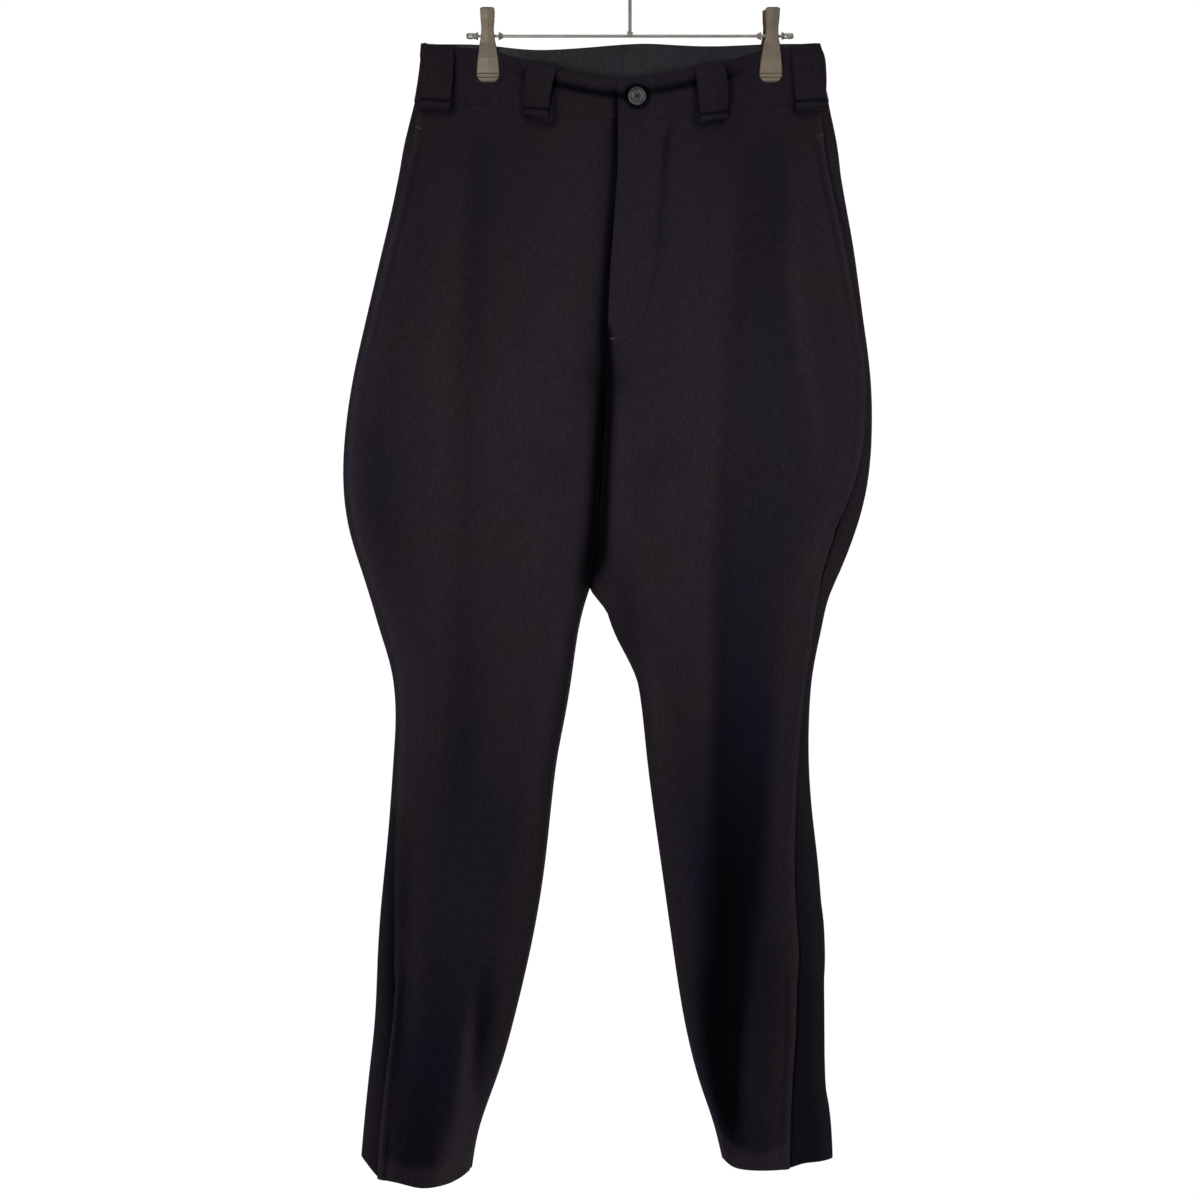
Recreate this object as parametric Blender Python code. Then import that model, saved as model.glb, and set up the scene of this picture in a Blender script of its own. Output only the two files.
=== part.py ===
"""Jodhpurs clipped by the waistband to a two-clip hanger.

Metres, +Z up. -Y is the front, where the fly is. +X is the viewer's right, the
wearer's left. The origin is inside the top of the hanger's hook. The tables are in
millimetres: x from the hanger's stem, drop below the level waist line.
"""
import math
from collections import namedtuple

import bpy
import numpy as np
from mathutils import Vector
from mathutils.bvhtree import BVHTree

MM = 0.001

# Cloth
WALL = 1.8            # one panel
FACING_WALL = 1.2     # facing behind the back waistband
SEAM_GAP = 0.3        # left between pieces that are sewn together
LAP = 8.0             # how far one edge runs under another
LAP_CLEAR = 0.9       # left under the edge that laps over
LAP_FADE = 12.0       # width over which a lapped edge dips
LAP_START = 16.0      # height over which a lap grows to its full width
LAP_ZONES = ((96.0, 270.0), (868.0, 1300.0))  # pocket mouth and ankle slit, as drops
WAISTBAND = 55.0      # height of the waistband
CENTRE_GAP_END = 530.0  # drop below which the legs part
INTERLOCK = 2.5       # sideways step in the face where the legs touch

# Hanger
HOOK_TO_BAR = 105.0
BAR_TO_WAIST = 10.9
BAR_HALF = 155.8
BAR_RADIUS = 1.5
COLLAR_RADIUS = 4.2
COLLAR_NECK = 2.2     # radius of a collar's thin end
COLLAR_LENGTH = 4.2
CLIP_ROOM = 19.2      # between a clip's two collars
CAP_LENGTH = 9.5
WIRE_RADIUS = 1.65
HOOK_INSIDE = 22.0
FOOT_FLARE = 1.7      # the stem's foot, as a share of the wire's radius
SPRING_TURNS = 4
SPRING_PITCH = 1.2
SPRING_GROOVE = 0.9   # wall at the grooves between the coils
SPRING_CREST = 1.3    # wall at the coils
PINCH_DEPTH = 3.6     # cloth's outer face from the middle plane, in a clip
PINCH_WIDTH = 48.0

# Fly
FLY_END = 282.0
FLY_LAP = 4.0         # how far the right front runs under the left
FLY_CLEAR = 0.35      # left under the left front
UNDERLAP = 30.0       # the right waistband under the left, behind the button

# Button
BUTTON_X = 6.6
BUTTON_DROP = 48.4
BUTTON_RADIUS = 8.5
BUTTON_STAND = 1.35   # its back from the cloth's front at a drop of 20 mm
HOLE_RADIUS = 0.85
HOLE_ASIDE = 1.7      # the holes' middles from the button's middle

LegRow = namedtuple("LegRow", "drop out seam inner back_inner")
DepthRow = namedtuple("DepthRow", "drop front back")
EdgeRow = namedtuple("EdgeRow", "x drop")
FoldRow = namedtuple("FoldRow", "leg face path width rise")
LoopRow = namedtuple("LoopRow", "name face x_top x_low")
ClipRow = namedtuple("ClipRow", "name x_top x_low back_shift")
LeverRow = namedtuple("LeverRow", "z outer inner flange half_width")

# Outline, side seam, front inner edge and back inner edge of each leg.
RIGHT_LEG = (
    LegRow(0, -199.5, -193.0, -12.0, -12.0),
    LegRow(55, -206.0, -197.5, -11.5, -11.5),
    LegRow(85, -213.0, -202.5, -11.5, -11.5),
    LegRow(118, -219.5, -211.0, -13.5, -13.5),
    LegRow(156, -227.0, -219.5, -15.0, -15.0),
    LegRow(194, -236.5, -230.0, -17.5, -17.5),
    LegRow(241, -247.5, -241.0, -20.5, -20.5),
    LegRow(284, -257.5, -251.0, -24.0, -21.5),
    LegRow(310, -263.0, -257.0, -27.0, -21.5),
    LegRow(346, -269.0, -263.0, -30.0, -23.5),
    LegRow(384, -273.5, -267.5, -32.0, -26.5),
    LegRow(431, -273.5, -266.0, -35.5, -29.5),
    LegRow(469, -266.0, -257.5, -39.5, -31.5),
    LegRow(503, -253.5, -247.0, -43.0, -34.0),
    LegRow(526, -246.5, -239.5, -45.5, -44.5),
    LegRow(555, -238.5, -228.0, -51.5, -51.5),
    LegRow(588, -227.5, -220.5, -56.0, -56.0),
    LegRow(621, -222.0, -215.0, -60.5, -60.5),
    LegRow(678, -225.5, -217.5, -72.0, -72.0),
    LegRow(735, -229.5, -219.5, -78.0, -78.0),
    LegRow(792, -235.5, -221.5, -84.5, -84.5),
    LegRow(849, -241.0, -221.0, -94.5, -94.5),
    LegRow(916, -243.0, -224.0, -110.0, -110.0),
    LegRow(982, -250.0, -232.0, -128.0, -128.0),
    LegRow(1030, -253.5, -236.5, -145.5, -145.5),
    LegRow(1074, -256.5, -239.5, -152.0, -152.0),
)
LEFT_LEG = (
    LegRow(0, 180.5, 173.0, -12.0, -12.0),
    LegRow(55, 190.0, 177.5, -11.5, -11.5),
    LegRow(85, 195.5, 181.5, -11.5, -11.5),
    LegRow(118, 200.5, 187.0, -13.5, -13.5),
    LegRow(156, 207.0, 195.5, -15.0, -15.0),
    LegRow(194, 214.0, 204.0, -17.5, -17.5),
    LegRow(241, 220.0, 213.0, -20.5, -20.5),
    LegRow(284, 226.0, 219.5, -18.5, -21.5),
    LegRow(310, 229.0, 222.0, -16.0, -21.5),
    LegRow(346, 231.0, 221.5, -20.0, -23.5),
    LegRow(384, 231.0, 218.5, -22.0, -26.5),
    LegRow(431, 226.0, 206.0, -24.0, -29.5),
    LegRow(469, 214.0, 189.0, -22.0, -31.5),
    LegRow(503, 199.5, 179.5, -13.5, -34.0),
    LegRow(526, 188.0, 175.0, -7.5, -24.0),
    LegRow(555, 182.5, 172.0, 0.0, -17.0),
    LegRow(573, 178.0, 169.5, 4.0, -7.0),
    LegRow(588, 174.5, 167.0, 6.5, 5.0),
    LegRow(621, 171.0, 162.0, 11.5, 11.5),
    LegRow(678, 170.5, 157.0, 17.0, 17.0),
    LegRow(735, 176.0, 154.0, 24.5, 24.5),
    LegRow(792, 182.5, 153.0, 32.5, 32.5),
    LegRow(849, 185.5, 157.5, 40.5, 40.5),
    LegRow(916, 187.0, 157.5, 50.5, 50.5),
    LegRow(982, 188.0, 153.0, 65.5, 65.5),
    LegRow(1030, 192.0, 151.5, 81.0, 81.0),
    LegRow(1062, 194.0, 151.0, 87.5, 87.5),
)
# How far the cloth stands in front of and behind the hanger's plane.
DEPTHS = (
    DepthRow(0, 20, 11),
    DepthRow(55, 27, 18),
    DepthRow(85, 32, 24),
    DepthRow(118, 36, 31),
    DepthRow(156, 40, 38),
    DepthRow(241, 45, 47),
    DepthRow(346, 46, 50),
    DepthRow(431, 44, 48),
    DepthRow(526, 41, 45),
    DepthRow(621, 38, 42),
    DepthRow(735, 36, 39),
    DepthRow(849, 34, 36),
    DepthRow(982, 32, 33),
    DepthRow(1074, 30, 31),
)
# The plane where the two legs meet, down to where they part.
CENTRE = (
    EdgeRow(-12.0, 0),
    EdgeRow(-11.5, 85),
    EdgeRow(-15.0, 156),
    EdgeRow(-20.5, 241),
    EdgeRow(-21.5, 310),
    EdgeRow(-26.5, 384),
    EdgeRow(-31.5, 469),
    EdgeRow(-34.0, 503),
    EdgeRow(-34.0, 1080),
)
# The front waistband sags between the clips. Drops of its top edge and lower seam.
FRONT_TOP = (
    EdgeRow(-202, -1.5),
    EdgeRow(-190, 0.0),
    EdgeRow(-142, 1.4),
    EdgeRow(-130, 3.6),
    EdgeRow(-112, 9.5),
    EdgeRow(-95, 15.2),
    EdgeRow(-70, 22.8),
    EdgeRow(-28, 30.4),
    EdgeRow(-12, 31.3),
    EdgeRow(28, 26.1),
    EdgeRow(57, 20.9),
    EdgeRow(90, 15.2),
    EdgeRow(100, 11.4),
    EdgeRow(120, 3.8),
    EdgeRow(133, 1.4),
    EdgeRow(152, 0.0),
    EdgeRow(182, -1.5),
)
FRONT_SEAM = (
    EdgeRow(-206, 52.2),
    EdgeRow(-180, 53.2),
    EdgeRow(-136, 55.1),
    EdgeRow(-85, 61.8),
    EdgeRow(-47, 67.5),
    EdgeRow(-9, 70.3),
    EdgeRow(28, 70.3),
    EdgeRow(57, 69.3),
    EdgeRow(95, 62.7),
    EdgeRow(135, 55.6),
    EdgeRow(158, 53.7),
    EdgeRow(190, 52.2),
)
BACK_TOP = (
    EdgeRow(-202, -3.6),
    EdgeRow(-146, -3.3),
    EdgeRow(-108, 0.9),
    EdgeRow(-93, 1.9),
    EdgeRow(-55, 0.0),
    EdgeRow(17, -4.8),
    EdgeRow(52, -2.8),
    EdgeRow(86, -1.9),
    EdgeRow(146, -3.8),
    EdgeRow(182, -3.6),
)
# Hems, as drops below each leg's last row.
RIGHT_HEM = (
    EdgeRow(-256.5, -22.0),
    EdgeRow(-249.0, -14.2),
    EdgeRow(-239.5, -1.9),
    EdgeRow(-222.5, 1.9),
    EdgeRow(-195.0, 7.6),
    EdgeRow(-176.5, 3.8),
    EdgeRow(-161.5, -2.8),
    EdgeRow(-152.0, -9.0),
)
LEFT_HEM = (
    EdgeRow(87.5, -8.5),
    EdgeRow(93.0, -3.8),
    EdgeRow(99.0, 0.0),
    EdgeRow(127.5, 1.9),
    EdgeRow(149.0, 0.9),
    EdgeRow(157.0, -3.8),
    EdgeRow(190.0, -5.7),
    EdgeRow(195.5, -9.0),
)
HEM_FADE = 110.0
SAG_END = 230.0

# Shape of a slice: shares of its width from the inner end, or from the outline, and
# shares of its depth. The seat is open at the centre seams and the tube is a leg.
SEAT_FRONT = ((0.0, 1.0), (0.2, 1.0), (0.42, 0.99), (0.64, 0.93), (0.86, 0.76))
SEAT_BACK = ((0.09, 0.5), (0.24, 0.82), (0.45, 0.97), (0.66, 1.0), (0.85, 1.0), (1.0, 1.0))
TUBE_FRONT = ((0.08, 0.94), (0.42, 1.0), (0.8, 0.88))
TUBE_BACK = ((0.09, 0.58), (0.25, 0.88), (0.5, 1.0), (0.82, 0.86))

# Largest folds: a path of (drop, x), half width and rise. Below zero is a trough.
FOLDS = (
    FoldRow("right", "front", ((60, -144), (284, -152), (490, -148), (700, -156)), 13, -4.5),
    FoldRow("right", "front", ((120, -70), (400, -76), (640, -108)), 34, 2.5),
    FoldRow("right", "front", ((800, -207), (900, -208), (1050, -214)), 9, -4.0),
    FoldRow("right", "front", ((870, -138), (960, -143), (1030, -152)), 10, -5.0),
    FoldRow("right", "front", ((300, -232), (430, -240), (520, -225)), 14, -2.5),
    FoldRow("left", "front", ((60, 138), (150, 126), (300, 110), (480, 99), (700, 97)), 16, -4.5),
    FoldRow("left", "front", ((700, 97), (800, 100), (900, 98), (1000, 92), (1060, 90)), 12, -9.0),
    FoldRow("left", "front", ((150, 152), (210, 151), (283, 165), (370, 181)), 13, 3.0),
    FoldRow("left", "front", ((130, 60), (400, 50), (640, 62)), 32, 2.5),
    FoldRow("left", "front", ((560, 34), (660, 56), (760, 76)), 14, -2.0),
    FoldRow("right", "back", ((60, -140), (300, -150), (500, -146), (700, -156)), 16, -5.0),
    FoldRow("right", "back", ((360, -70), (470, -95), (560, -130)), 18, -4.0),
    FoldRow("right", "back", ((700, -150), (900, -170), (1040, -196)), 14, -4.5),
    FoldRow("left", "back", ((60, 140), (250, 124), (480, 104), (700, 98)), 16, -5.0),
    FoldRow("left", "back", ((350, 40), (460, 62), (560, 90)), 18, -4.0),
    FoldRow("left", "back", ((700, 98), (880, 110), (1040, 128)), 14, -5.0),
)
FOLD_FADE = 60.0
CENTRE_CALM = 30.0    # the folds die out this close to the centre seams

# The top of the front waistband tips out over a crease. Forward is above zero.
STRIP = ((0.0, 1.2), (0.16, 0.6), (0.30, -1.6), (0.38, -3.2), (0.52, -0.6), (0.76, 0.0), (1.0, 0.0))
STRIP_FROM = -126.0
STRIP_TO = 116.0
STRIP_FADE = 26.0
BAND_ROWS = (0.0, 0.14, 0.29, 0.38, 0.52, 0.76, 1.0)

# Belt loops: share of the waistband's height, gap behind, and outer face.
LOOP_WIDTH = 26.5
RAY_START = 12.0      # how far outside the cloth the rays that find it start
LOOP_PROFILE = (
    (-0.04, 0.6, 2.6),
    (0.05, 1.2, 3.8),
    (0.16, 5.0, 7.5),
    (0.30, 7.0, 9.4),
    (0.64, 7.0, 9.4),
    (0.80, 4.8, 7.4),
    (0.92, 1.7, 6.0),
    (0.98, 0.7, 5.4),
    (1.06, 0.7, 5.0),
    (1.09, 0.8, 3.6),
)
LOOPS = (
    LoopRow("belt_loop_front_r_side", "front", -181.0, -184.5),
    LoopRow("belt_loop_front_r", "front", -82.5, -87.5),
    LoopRow("belt_loop_front_l", "front", 74.5, 78.5),
    LoopRow("belt_loop_front_l_side", "front", 166.5, 171.0),
    LoopRow("belt_loop_back_r", "back", -104.0, -106.0),
    LoopRow("belt_loop_back_centre", "back", -11.5, -11.5),
    LoopRow("belt_loop_back_l", "back", 82.0, 84.0),
)

CLIPS = (
    ClipRow("clip_r", -135.4, -134.7, 0.0),
    ClipRow("clip_l", 135.4, 133.4, -2.4),
)
# Clip levers, from the bar: outer and inner face, flange's edge, half width.
LEVER = (
    LeverRow(26.4, 12.4, 11.6, 11.2, 4.8),
    LeverRow(25.2, 12.6, 11.6, 10.6, 6.9),
    LeverRow(15.0, 10.6, 9.6, 7.8, 6.5),
    LeverRow(8.0, 8.8, 7.8, 5.0, 5.9),
    LeverRow(2.6, 7.6, 6.6, 1.9, 6.1),
    LeverRow(-2.6, 6.8, 5.8, 1.9, 6.7),
    LeverRow(-7.0, 6.5, 5.5, 4.3, 7.6),
    LeverRow(-21.4, 7.2, 6.2, 4.5, 9.8),
    LeverRow(-30.0, 6.8, 5.8, 4.4, 10.6),
    LeverRow(-35.4, 6.2, 5.2, 4.2, 10.9),
    LeverRow(-36.6, 5.2, 4.2, 4.2, 10.9),
    LeverRow(-39.2, 5.2, 4.2, 4.2, 10.6),
    LeverRow(-40.4, 6.6, 4.2, 4.2, 10.0),
    LeverRow(-42.8, 6.6, 4.2, 4.2, 8.2),
    LeverRow(-44.3, 5.4, 4.2, 4.2, 5.6),
)

# A bar's end cap, from its inner end: along, radius.
CAP_PROFILE = ((0.1, 2.6), (2.0, 3.1), (2.6, 2.5), (3.4, 3.1), (7.0, 3.1), (8.7, 2.4), (9.5, 1.2))
# The wire from the stem's foot to where the hook's bend starts: x, height.
STEM_PATH = ((0.0, -100.8), (0.0, -100.2), (0.0, -84.0), (0.0, -63.65), (1.6, -54.65), (8.0, -46.65))
BEND_FROM = -52.0     # the bend's first angle, in degrees
BEND_STEP = 17.2
BEND_POINTS = 15
# The button from its back: out from the cloth, radius as a share.
BUTTON_PROFILE = (
    (0.0, 0.45),
    (0.5, 0.80),
    (1.4, 0.97),
    (2.2, 1.0),
    (2.9, 0.95),
    (3.1, 0.84),
    (2.5, 0.68),
    (2.3, 0.45),
)

# Meshing
FRONT_COLUMNS = 18
BACK_COLUMNS = 17
BAND_COLUMNS = 15
DENSE = 10
END_BIAS = 0.07
ROW_BANDS = ((250, 30), (350, 20), (500, 34), (600, 24), (1100, 36))


def clear_scene():
    """Remove the objects the scene starts with."""
    for obj in list(bpy.data.objects):
        bpy.data.objects.remove(obj, do_unlink=True)


def make_material(name, colour, roughness, metallic=0.0):
    """Return a plain Principled material."""
    material = bpy.data.materials.new(name)
    material.use_nodes = True
    shader = material.node_tree.nodes["Principled BSDF"]
    shader.inputs["Base Color"].default_value = (*colour, 1.0)
    shader.inputs["Roughness"].default_value = roughness
    shader.inputs["Metallic"].default_value = metallic
    return material


def smooth_step(low, high, value):
    """Ease from 0 at low to 1 at high."""
    t = min(max((value - low) / (high - low), 0.0), 1.0)
    return t * t * (3.0 - 2.0 * t)


def smooth_curve(xs, ys, value):
    """Read a monotone cubic through the points (xs, ys) at value."""
    if value <= xs[0]:
        return ys[0]
    if value >= xs[-1]:
        return ys[-1]
    slopes = [(ys[i + 1] - ys[i]) / (xs[i + 1] - xs[i]) for i in range(len(xs) - 1)]
    i = max(k for k in range(len(slopes)) if xs[k] <= value)
    ends = []
    for k in (i, i + 1):
        before = slopes[max(k - 1, 0)]
        after = slopes[min(k, len(slopes) - 1)]
        product = before * after
        ends.append(2.0 * product / (before + after) if product > 0.0 else 0.0)
    width = xs[i + 1] - xs[i]
    t = (value - xs[i]) / width
    rise = ys[i + 1] - ys[i]
    bend = t * (1.0 - t) * ((1.0 - t) * (ends[0] * width - rise) - t * (ends[1] * width - rise))
    return ys[i] + t * rise + bend


def column_at(rows, key, column, value):
    """Read one column of a table at a value of its key column."""
    xs = [getattr(row, key) for row in rows]
    ys = [getattr(row, column) for row in rows]
    return smooth_curve(xs, ys, value)


def leg_rows(leg):
    """Return the outline table of one leg."""
    return RIGHT_LEG if leg == "right" else LEFT_LEG


def height_of(drop):
    """Return the level, in mm from the hook, of a drop below the waist line."""
    return -(HOOK_TO_BAR + BAR_TO_WAIST + drop)


def closed_amount(drop):
    """Return how far a slice has changed from half a seat to a closed leg."""
    return smooth_step(276.0, 330.0, drop)


def control_points(leg, drop):
    """Return a slice's control points, from the inner end round the front and the back.

    Above the crotch the slice is half of the seat, and below it is a closed leg. The
    two sets of points are blended, so that the centre seams curve under the body.
    """
    rows = leg_rows(leg)
    out = column_at(rows, "drop", "out", drop)
    seam = column_at(rows, "drop", "seam", drop)
    inner = column_at(rows, "drop", "inner", drop)
    back_inner = column_at(rows, "drop", "back_inner", drop)
    front = column_at(DEPTHS, "drop", "front", drop)
    back = column_at(DEPTHS, "drop", "back", drop)
    centre = column_at(CENTRE, "drop", "x", drop)
    closed = closed_amount(drop)
    side_share = min(1.0, abs(out - seam) / (1.3 * front))
    side_depth = -0.93 * front * math.sqrt(1.0 - (1.0 - side_share) ** 2)
    seat = [(centre + t * (seam - centre), -depth * front) for t, depth in SEAT_FRONT]
    seat += [(seam, side_depth), (out, 0.0)]
    seat += [(out + t * (centre + INTERLOCK - out), depth * back) for t, depth in SEAT_BACK]
    tube = [(back_inner, 0.1 * back), (inner, -0.55 * front)]
    tube += [(inner + t * (seam - inner), -depth * front) for t, depth in TUBE_FRONT]
    tube += [(seam, side_depth), (out, 0.04 * back)]
    tube += [(out + t * (back_inner - out), depth * back) for t, depth in TUBE_BACK]
    tube += [(back_inner + INTERLOCK, 0.45 * back), tube[0]]
    return [
        (a[0] + closed * (b[0] - a[0]), a[1] + closed * (b[1] - a[1]))
        for a, b in zip(seat, tube)
    ]


def spline(points, per_span):
    """Return a centripetal curve through the points, and each point's index on it."""
    pts = np.array(points, dtype=float)
    pts = np.vstack([2.0 * pts[0] - pts[1], pts, 2.0 * pts[-1] - pts[-2]])
    curve = []
    for i in range(1, len(pts) - 2):
        p0, p1, p2, p3 = pts[i - 1:i + 3]
        t1 = max(np.linalg.norm(p1 - p0), 1e-6) ** 0.5
        t2 = t1 + max(np.linalg.norm(p2 - p1), 1e-6) ** 0.5
        t3 = t2 + max(np.linalg.norm(p3 - p2), 1e-6) ** 0.5
        for step in range(per_span):
            t = t1 + (t2 - t1) * step / per_span
            a1 = p0 + (p1 - p0) * t / t1
            a2 = p1 + (p2 - p1) * (t - t1) / (t2 - t1)
            a3 = p2 + (p3 - p2) * (t - t2) / (t3 - t2)
            b1 = a1 + (a2 - a1) * t / t2
            b2 = a2 + (a3 - a2) * (t - t1) / (t3 - t1)
            curve.append(b1 + (b2 - b1) * (t - t1) / (t2 - t1))
    curve.append(pts[-2])
    return np.array(curve)


def outward(points, side):
    """Return the unit normals of a slice, which point out of the body."""
    tangent = np.gradient(points, axis=0)
    if np.linalg.norm(points[0] - points[-1]) < 3.0:
        tangent[0] = tangent[-1] = tangent[0] + tangent[-1]
    normal = np.column_stack([tangent[:, 1], -tangent[:, 0]]) * side
    return normal / np.maximum(np.linalg.norm(normal, axis=1, keepdims=True), 1e-9)


def fold_amounts(leg, drop, points, normals):
    """Return how far the large folds move each point of a slice outward."""
    moved = np.zeros(len(points))
    for fold in FOLDS:
        if fold.leg != leg:
            continue
        first, last = fold.path[0][0], fold.path[-1][0]
        strength = smooth_step(first - FOLD_FADE, first + FOLD_FADE, drop)
        strength *= 1.0 - smooth_step(last - FOLD_FADE, last + FOLD_FADE, drop)
        if strength == 0.0:
            continue
        x = smooth_curve([p[0] for p in fold.path], [p[1] for p in fold.path], drop)
        facing = -normals[:, 1] if fold.face == "front" else normals[:, 1]
        spread = np.exp(-0.5 * ((points[:, 0] - x) / fold.width) ** 2)
        moved += fold.rise * strength * spread * np.clip(facing, 0.0, 1.0)
    from_centre = np.abs(points[:, 0] - column_at(CENTRE, "drop", "x", drop)) / CENTRE_CALM
    calm = np.clip(from_centre - 0.5, 0.0, 1.0) if drop < CENTRE_GAP_END else 1.0
    return moved * calm


def pinch_amounts(drop, xs):
    """Return how fully the clips press the front and back together at each x."""
    strength = 1.0 - smooth_step(34.0, 150.0, drop)
    widen = PINCH_WIDTH + 0.10 * max(drop - 30.0, 0.0)
    pinch = np.zeros(len(xs))
    for clip in CLIPS:
        pinch = np.maximum(pinch, np.exp(-np.abs((xs - 0.5 * (clip.x_top + clip.x_low)) / widen) ** 4))
    return pinch * strength


class Slice:
    """A level slice through one leg, read by its length from the inner end."""

    def __init__(self, leg, drop):
        self.leg = leg
        self.drop = drop
        self.side = -1.0 if leg == "right" else 1.0
        controls = control_points(leg, drop)
        points = spline(controls, DENSE)
        normals = outward(points, self.side)
        points = points + normals * fold_amounts(leg, drop, points, normals)[:, None]
        pinch = pinch_amounts(drop, points[:, 0])
        pressed = np.sign(points[:, 1]) * np.minimum(np.abs(points[:, 1]), PINCH_DEPTH)
        points[:, 1] += pinch * (pressed - points[:, 1])
        self.points = points
        self.normals = outward(points, self.side)
        steps = np.linalg.norm(np.diff(points, axis=0), axis=1)
        self.lengths = np.concatenate([[0.0], np.cumsum(steps)])
        self.seam = self.lengths[DENSE * 5]
        self.end = self.lengths[-1]

    def at(self, length):
        """Return the point and the outward normal at a length, also past the inner end."""
        point = np.array([np.interp(length, self.lengths, self.points[:, k]) for k in (0, 1)])
        normal = np.array([np.interp(length, self.lengths, self.normals[:, k]) for k in (0, 1)])
        if length < 0.0:
            point = point + length * np.array([self.side, 0.0])
        return point, normal / np.linalg.norm(normal)

    def length_at_x(self, x, face):
        """Return the length at which the front or the back crosses an x."""
        if face == "front":
            chosen = self.lengths <= self.seam
        else:
            chosen = self.lengths >= self.lengths[DENSE * 6]
        xs = self.points[chosen, 0] * self.side
        lengths = self.lengths[chosen]
        order = np.argsort(xs)
        return float(np.interp(x * self.side, xs[order], lengths[order]))


def level(face, leg, x, drop):
    """Return the height, in mm, of a point of a panel or of the waistband.

    Args:
        face: front or back.
        leg: right or left.
        x: the point's x in mm.
        drop: its row's drop on the unsagged pattern.
    """
    if face == "front":
        top = column_at(FRONT_TOP, "x", "drop", x)
        low = column_at(FRONT_SEAM, "x", "drop", x) - WAISTBAND
    else:
        top = column_at(BACK_TOP, "x", "drop", x)
        low = -2.8
    if drop <= WAISTBAND:
        share = max(drop, -5.0) / WAISTBAND
        return height_of(drop + top + share * (low - top))
    shift = low * (1.0 - smooth_step(WAISTBAND, SAG_END, drop))
    hem = RIGHT_HEM if leg == "right" else LEFT_HEM
    last = leg_rows(leg)[-1].drop
    near_hem = smooth_step(last - HEM_FADE, last, drop)
    return height_of(drop + shift + near_hem * column_at(hem, "x", "drop", x))


def lap_amount(drop):
    """Return how far the back panel runs under the front at the side, and its dip."""
    lap = 0.0
    dip = 0.0
    for top, bottom in LAP_ZONES:
        grown = smooth_step(top, top + LAP_START, drop)
        lap += LAP * grown * (1.0 - smooth_step(bottom - LAP_START, bottom, drop))
        lowered = smooth_step(top - 40.0, top - 14.0, drop)
        dip += lowered * (1.0 - smooth_step(bottom + 3.0, bottom + 22.0, drop))
    return lap, dip


def fly_amount(drop):
    """Return how far the right front runs under the left at the fly, and its dip."""
    lap = FLY_LAP * (1.0 - smooth_step(FLY_END - 36.0, FLY_END - 14.0, drop))
    dip = 1.0 - smooth_step(FLY_END, FLY_END + 22.0, drop)
    return lap, dip


def spaced(start, stop, count):
    """Return lengths from start to stop that lie closer together at both ends."""
    u = np.linspace(0.0, 1.0, count)
    return start + (stop - start) * (u - END_BIAS * np.sin(2.0 * math.pi * u))


def panel_slice(leg, face, drop, columns):
    """Return one row of a panel as pairs of an outer point and its normal."""
    cut = Slice(leg, drop)
    half_gap = 0.5 * SEAM_GAP
    fly_lap, fly_dip = fly_amount(drop) if leg == "right" else (0.0, 0.0)
    side_lap, side_dip = lap_amount(drop)
    if face == "front":
        start = -fly_lap if fly_lap > 0.0 else half_gap
        stop = cut.seam if side_lap > 0.0 else cut.seam - half_gap
    else:
        start = cut.seam - side_lap if side_lap > 0.0 else cut.seam + half_gap
        stop = cut.end - half_gap
    step_down = WALL + (LAP_CLEAR if face == "back" else FLY_CLEAR)
    if face == "back":
        lengths = [start, cut.seam + 1.0, *spaced(cut.seam + 1.0 + LAP_FADE, stop, columns - 2)]
    elif leg == "right":
        lengths = [start, start + 5.0, *spaced(start + 5.0 + LAP_FADE, stop, columns - 2)]
    else:
        lengths = spaced(start, stop, columns)
    row = []
    for length in lengths:
        point, normal = cut.at(length)
        if face == "front":
            dip = fly_dip * (1.0 - smooth_step(2.0, 2.0 + LAP_FADE, length))
        else:
            dip = side_dip * (1.0 - smooth_step(2.0, 2.0 + LAP_FADE, length - cut.seam))
        row.append((point - normal * step_down * dip, normal))
    return row


def keep_side(point, leg, drop, lap=0.0):
    """Hold a point on its leg's side of the face where the legs meet.

    The face steps sideways by INTERLOCK on its way back, so that no light passes
    between the legs.
    """
    x, y = point
    if drop > CENTRE_GAP_END:
        return x, y
    step = INTERLOCK * smooth_step(6.0, 18.0, y)
    centre = column_at(CENTRE, "drop", "x", drop) + step
    half_gap = 0.5 * SEAM_GAP
    if leg == "right":
        return min(x, centre - half_gap + lap), y
    return max(x, centre + half_gap), y


def row_drops(last):
    """Return the rows' drops from the waistband's seam to a leg's last row."""
    edges = [WAISTBAND] + [min(band[0], last) for band in ROW_BANDS]
    drops = [WAISTBAND]
    for low, high, band in zip(edges, edges[1:], ROW_BANDS):
        count = max(1, round((high - low) / band[1]))
        drops += [low + (high - low) * (k + 1) / count for k in range(count)]
    return drops


def grid_solid(name, outer, inner, material):
    """Make one closed object from two grids of points, in mm, and its four edges."""
    rows = len(outer)
    columns = len(outer[0])
    verts = [tuple(c * MM for c in p) for grid in (outer, inner) for row in grid for p in row]
    size = rows * columns
    faces = []
    for i in range(rows - 1):
        for j in range(columns - 1):
            a = i * columns + j
            faces.append((a, a + 1, a + columns + 1, a + columns))
            faces.append((a + size, a + columns + size, a + columns + 1 + size, a + 1 + size))
    rim = [(i, 0) for i in range(rows)] + [(rows - 1, j) for j in range(1, columns)]
    rim += [(i, columns - 1) for i in range(rows - 2, -1, -1)]
    rim += [(0, j) for j in range(columns - 2, 0, -1)]
    for (i, j), (k, m) in zip(rim, rim[1:] + rim[:1]):
        a = i * columns + j
        b = k * columns + m
        faces.append((a, b, b + size, a + size))
    return finish_mesh(name, verts, faces, material)


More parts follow.
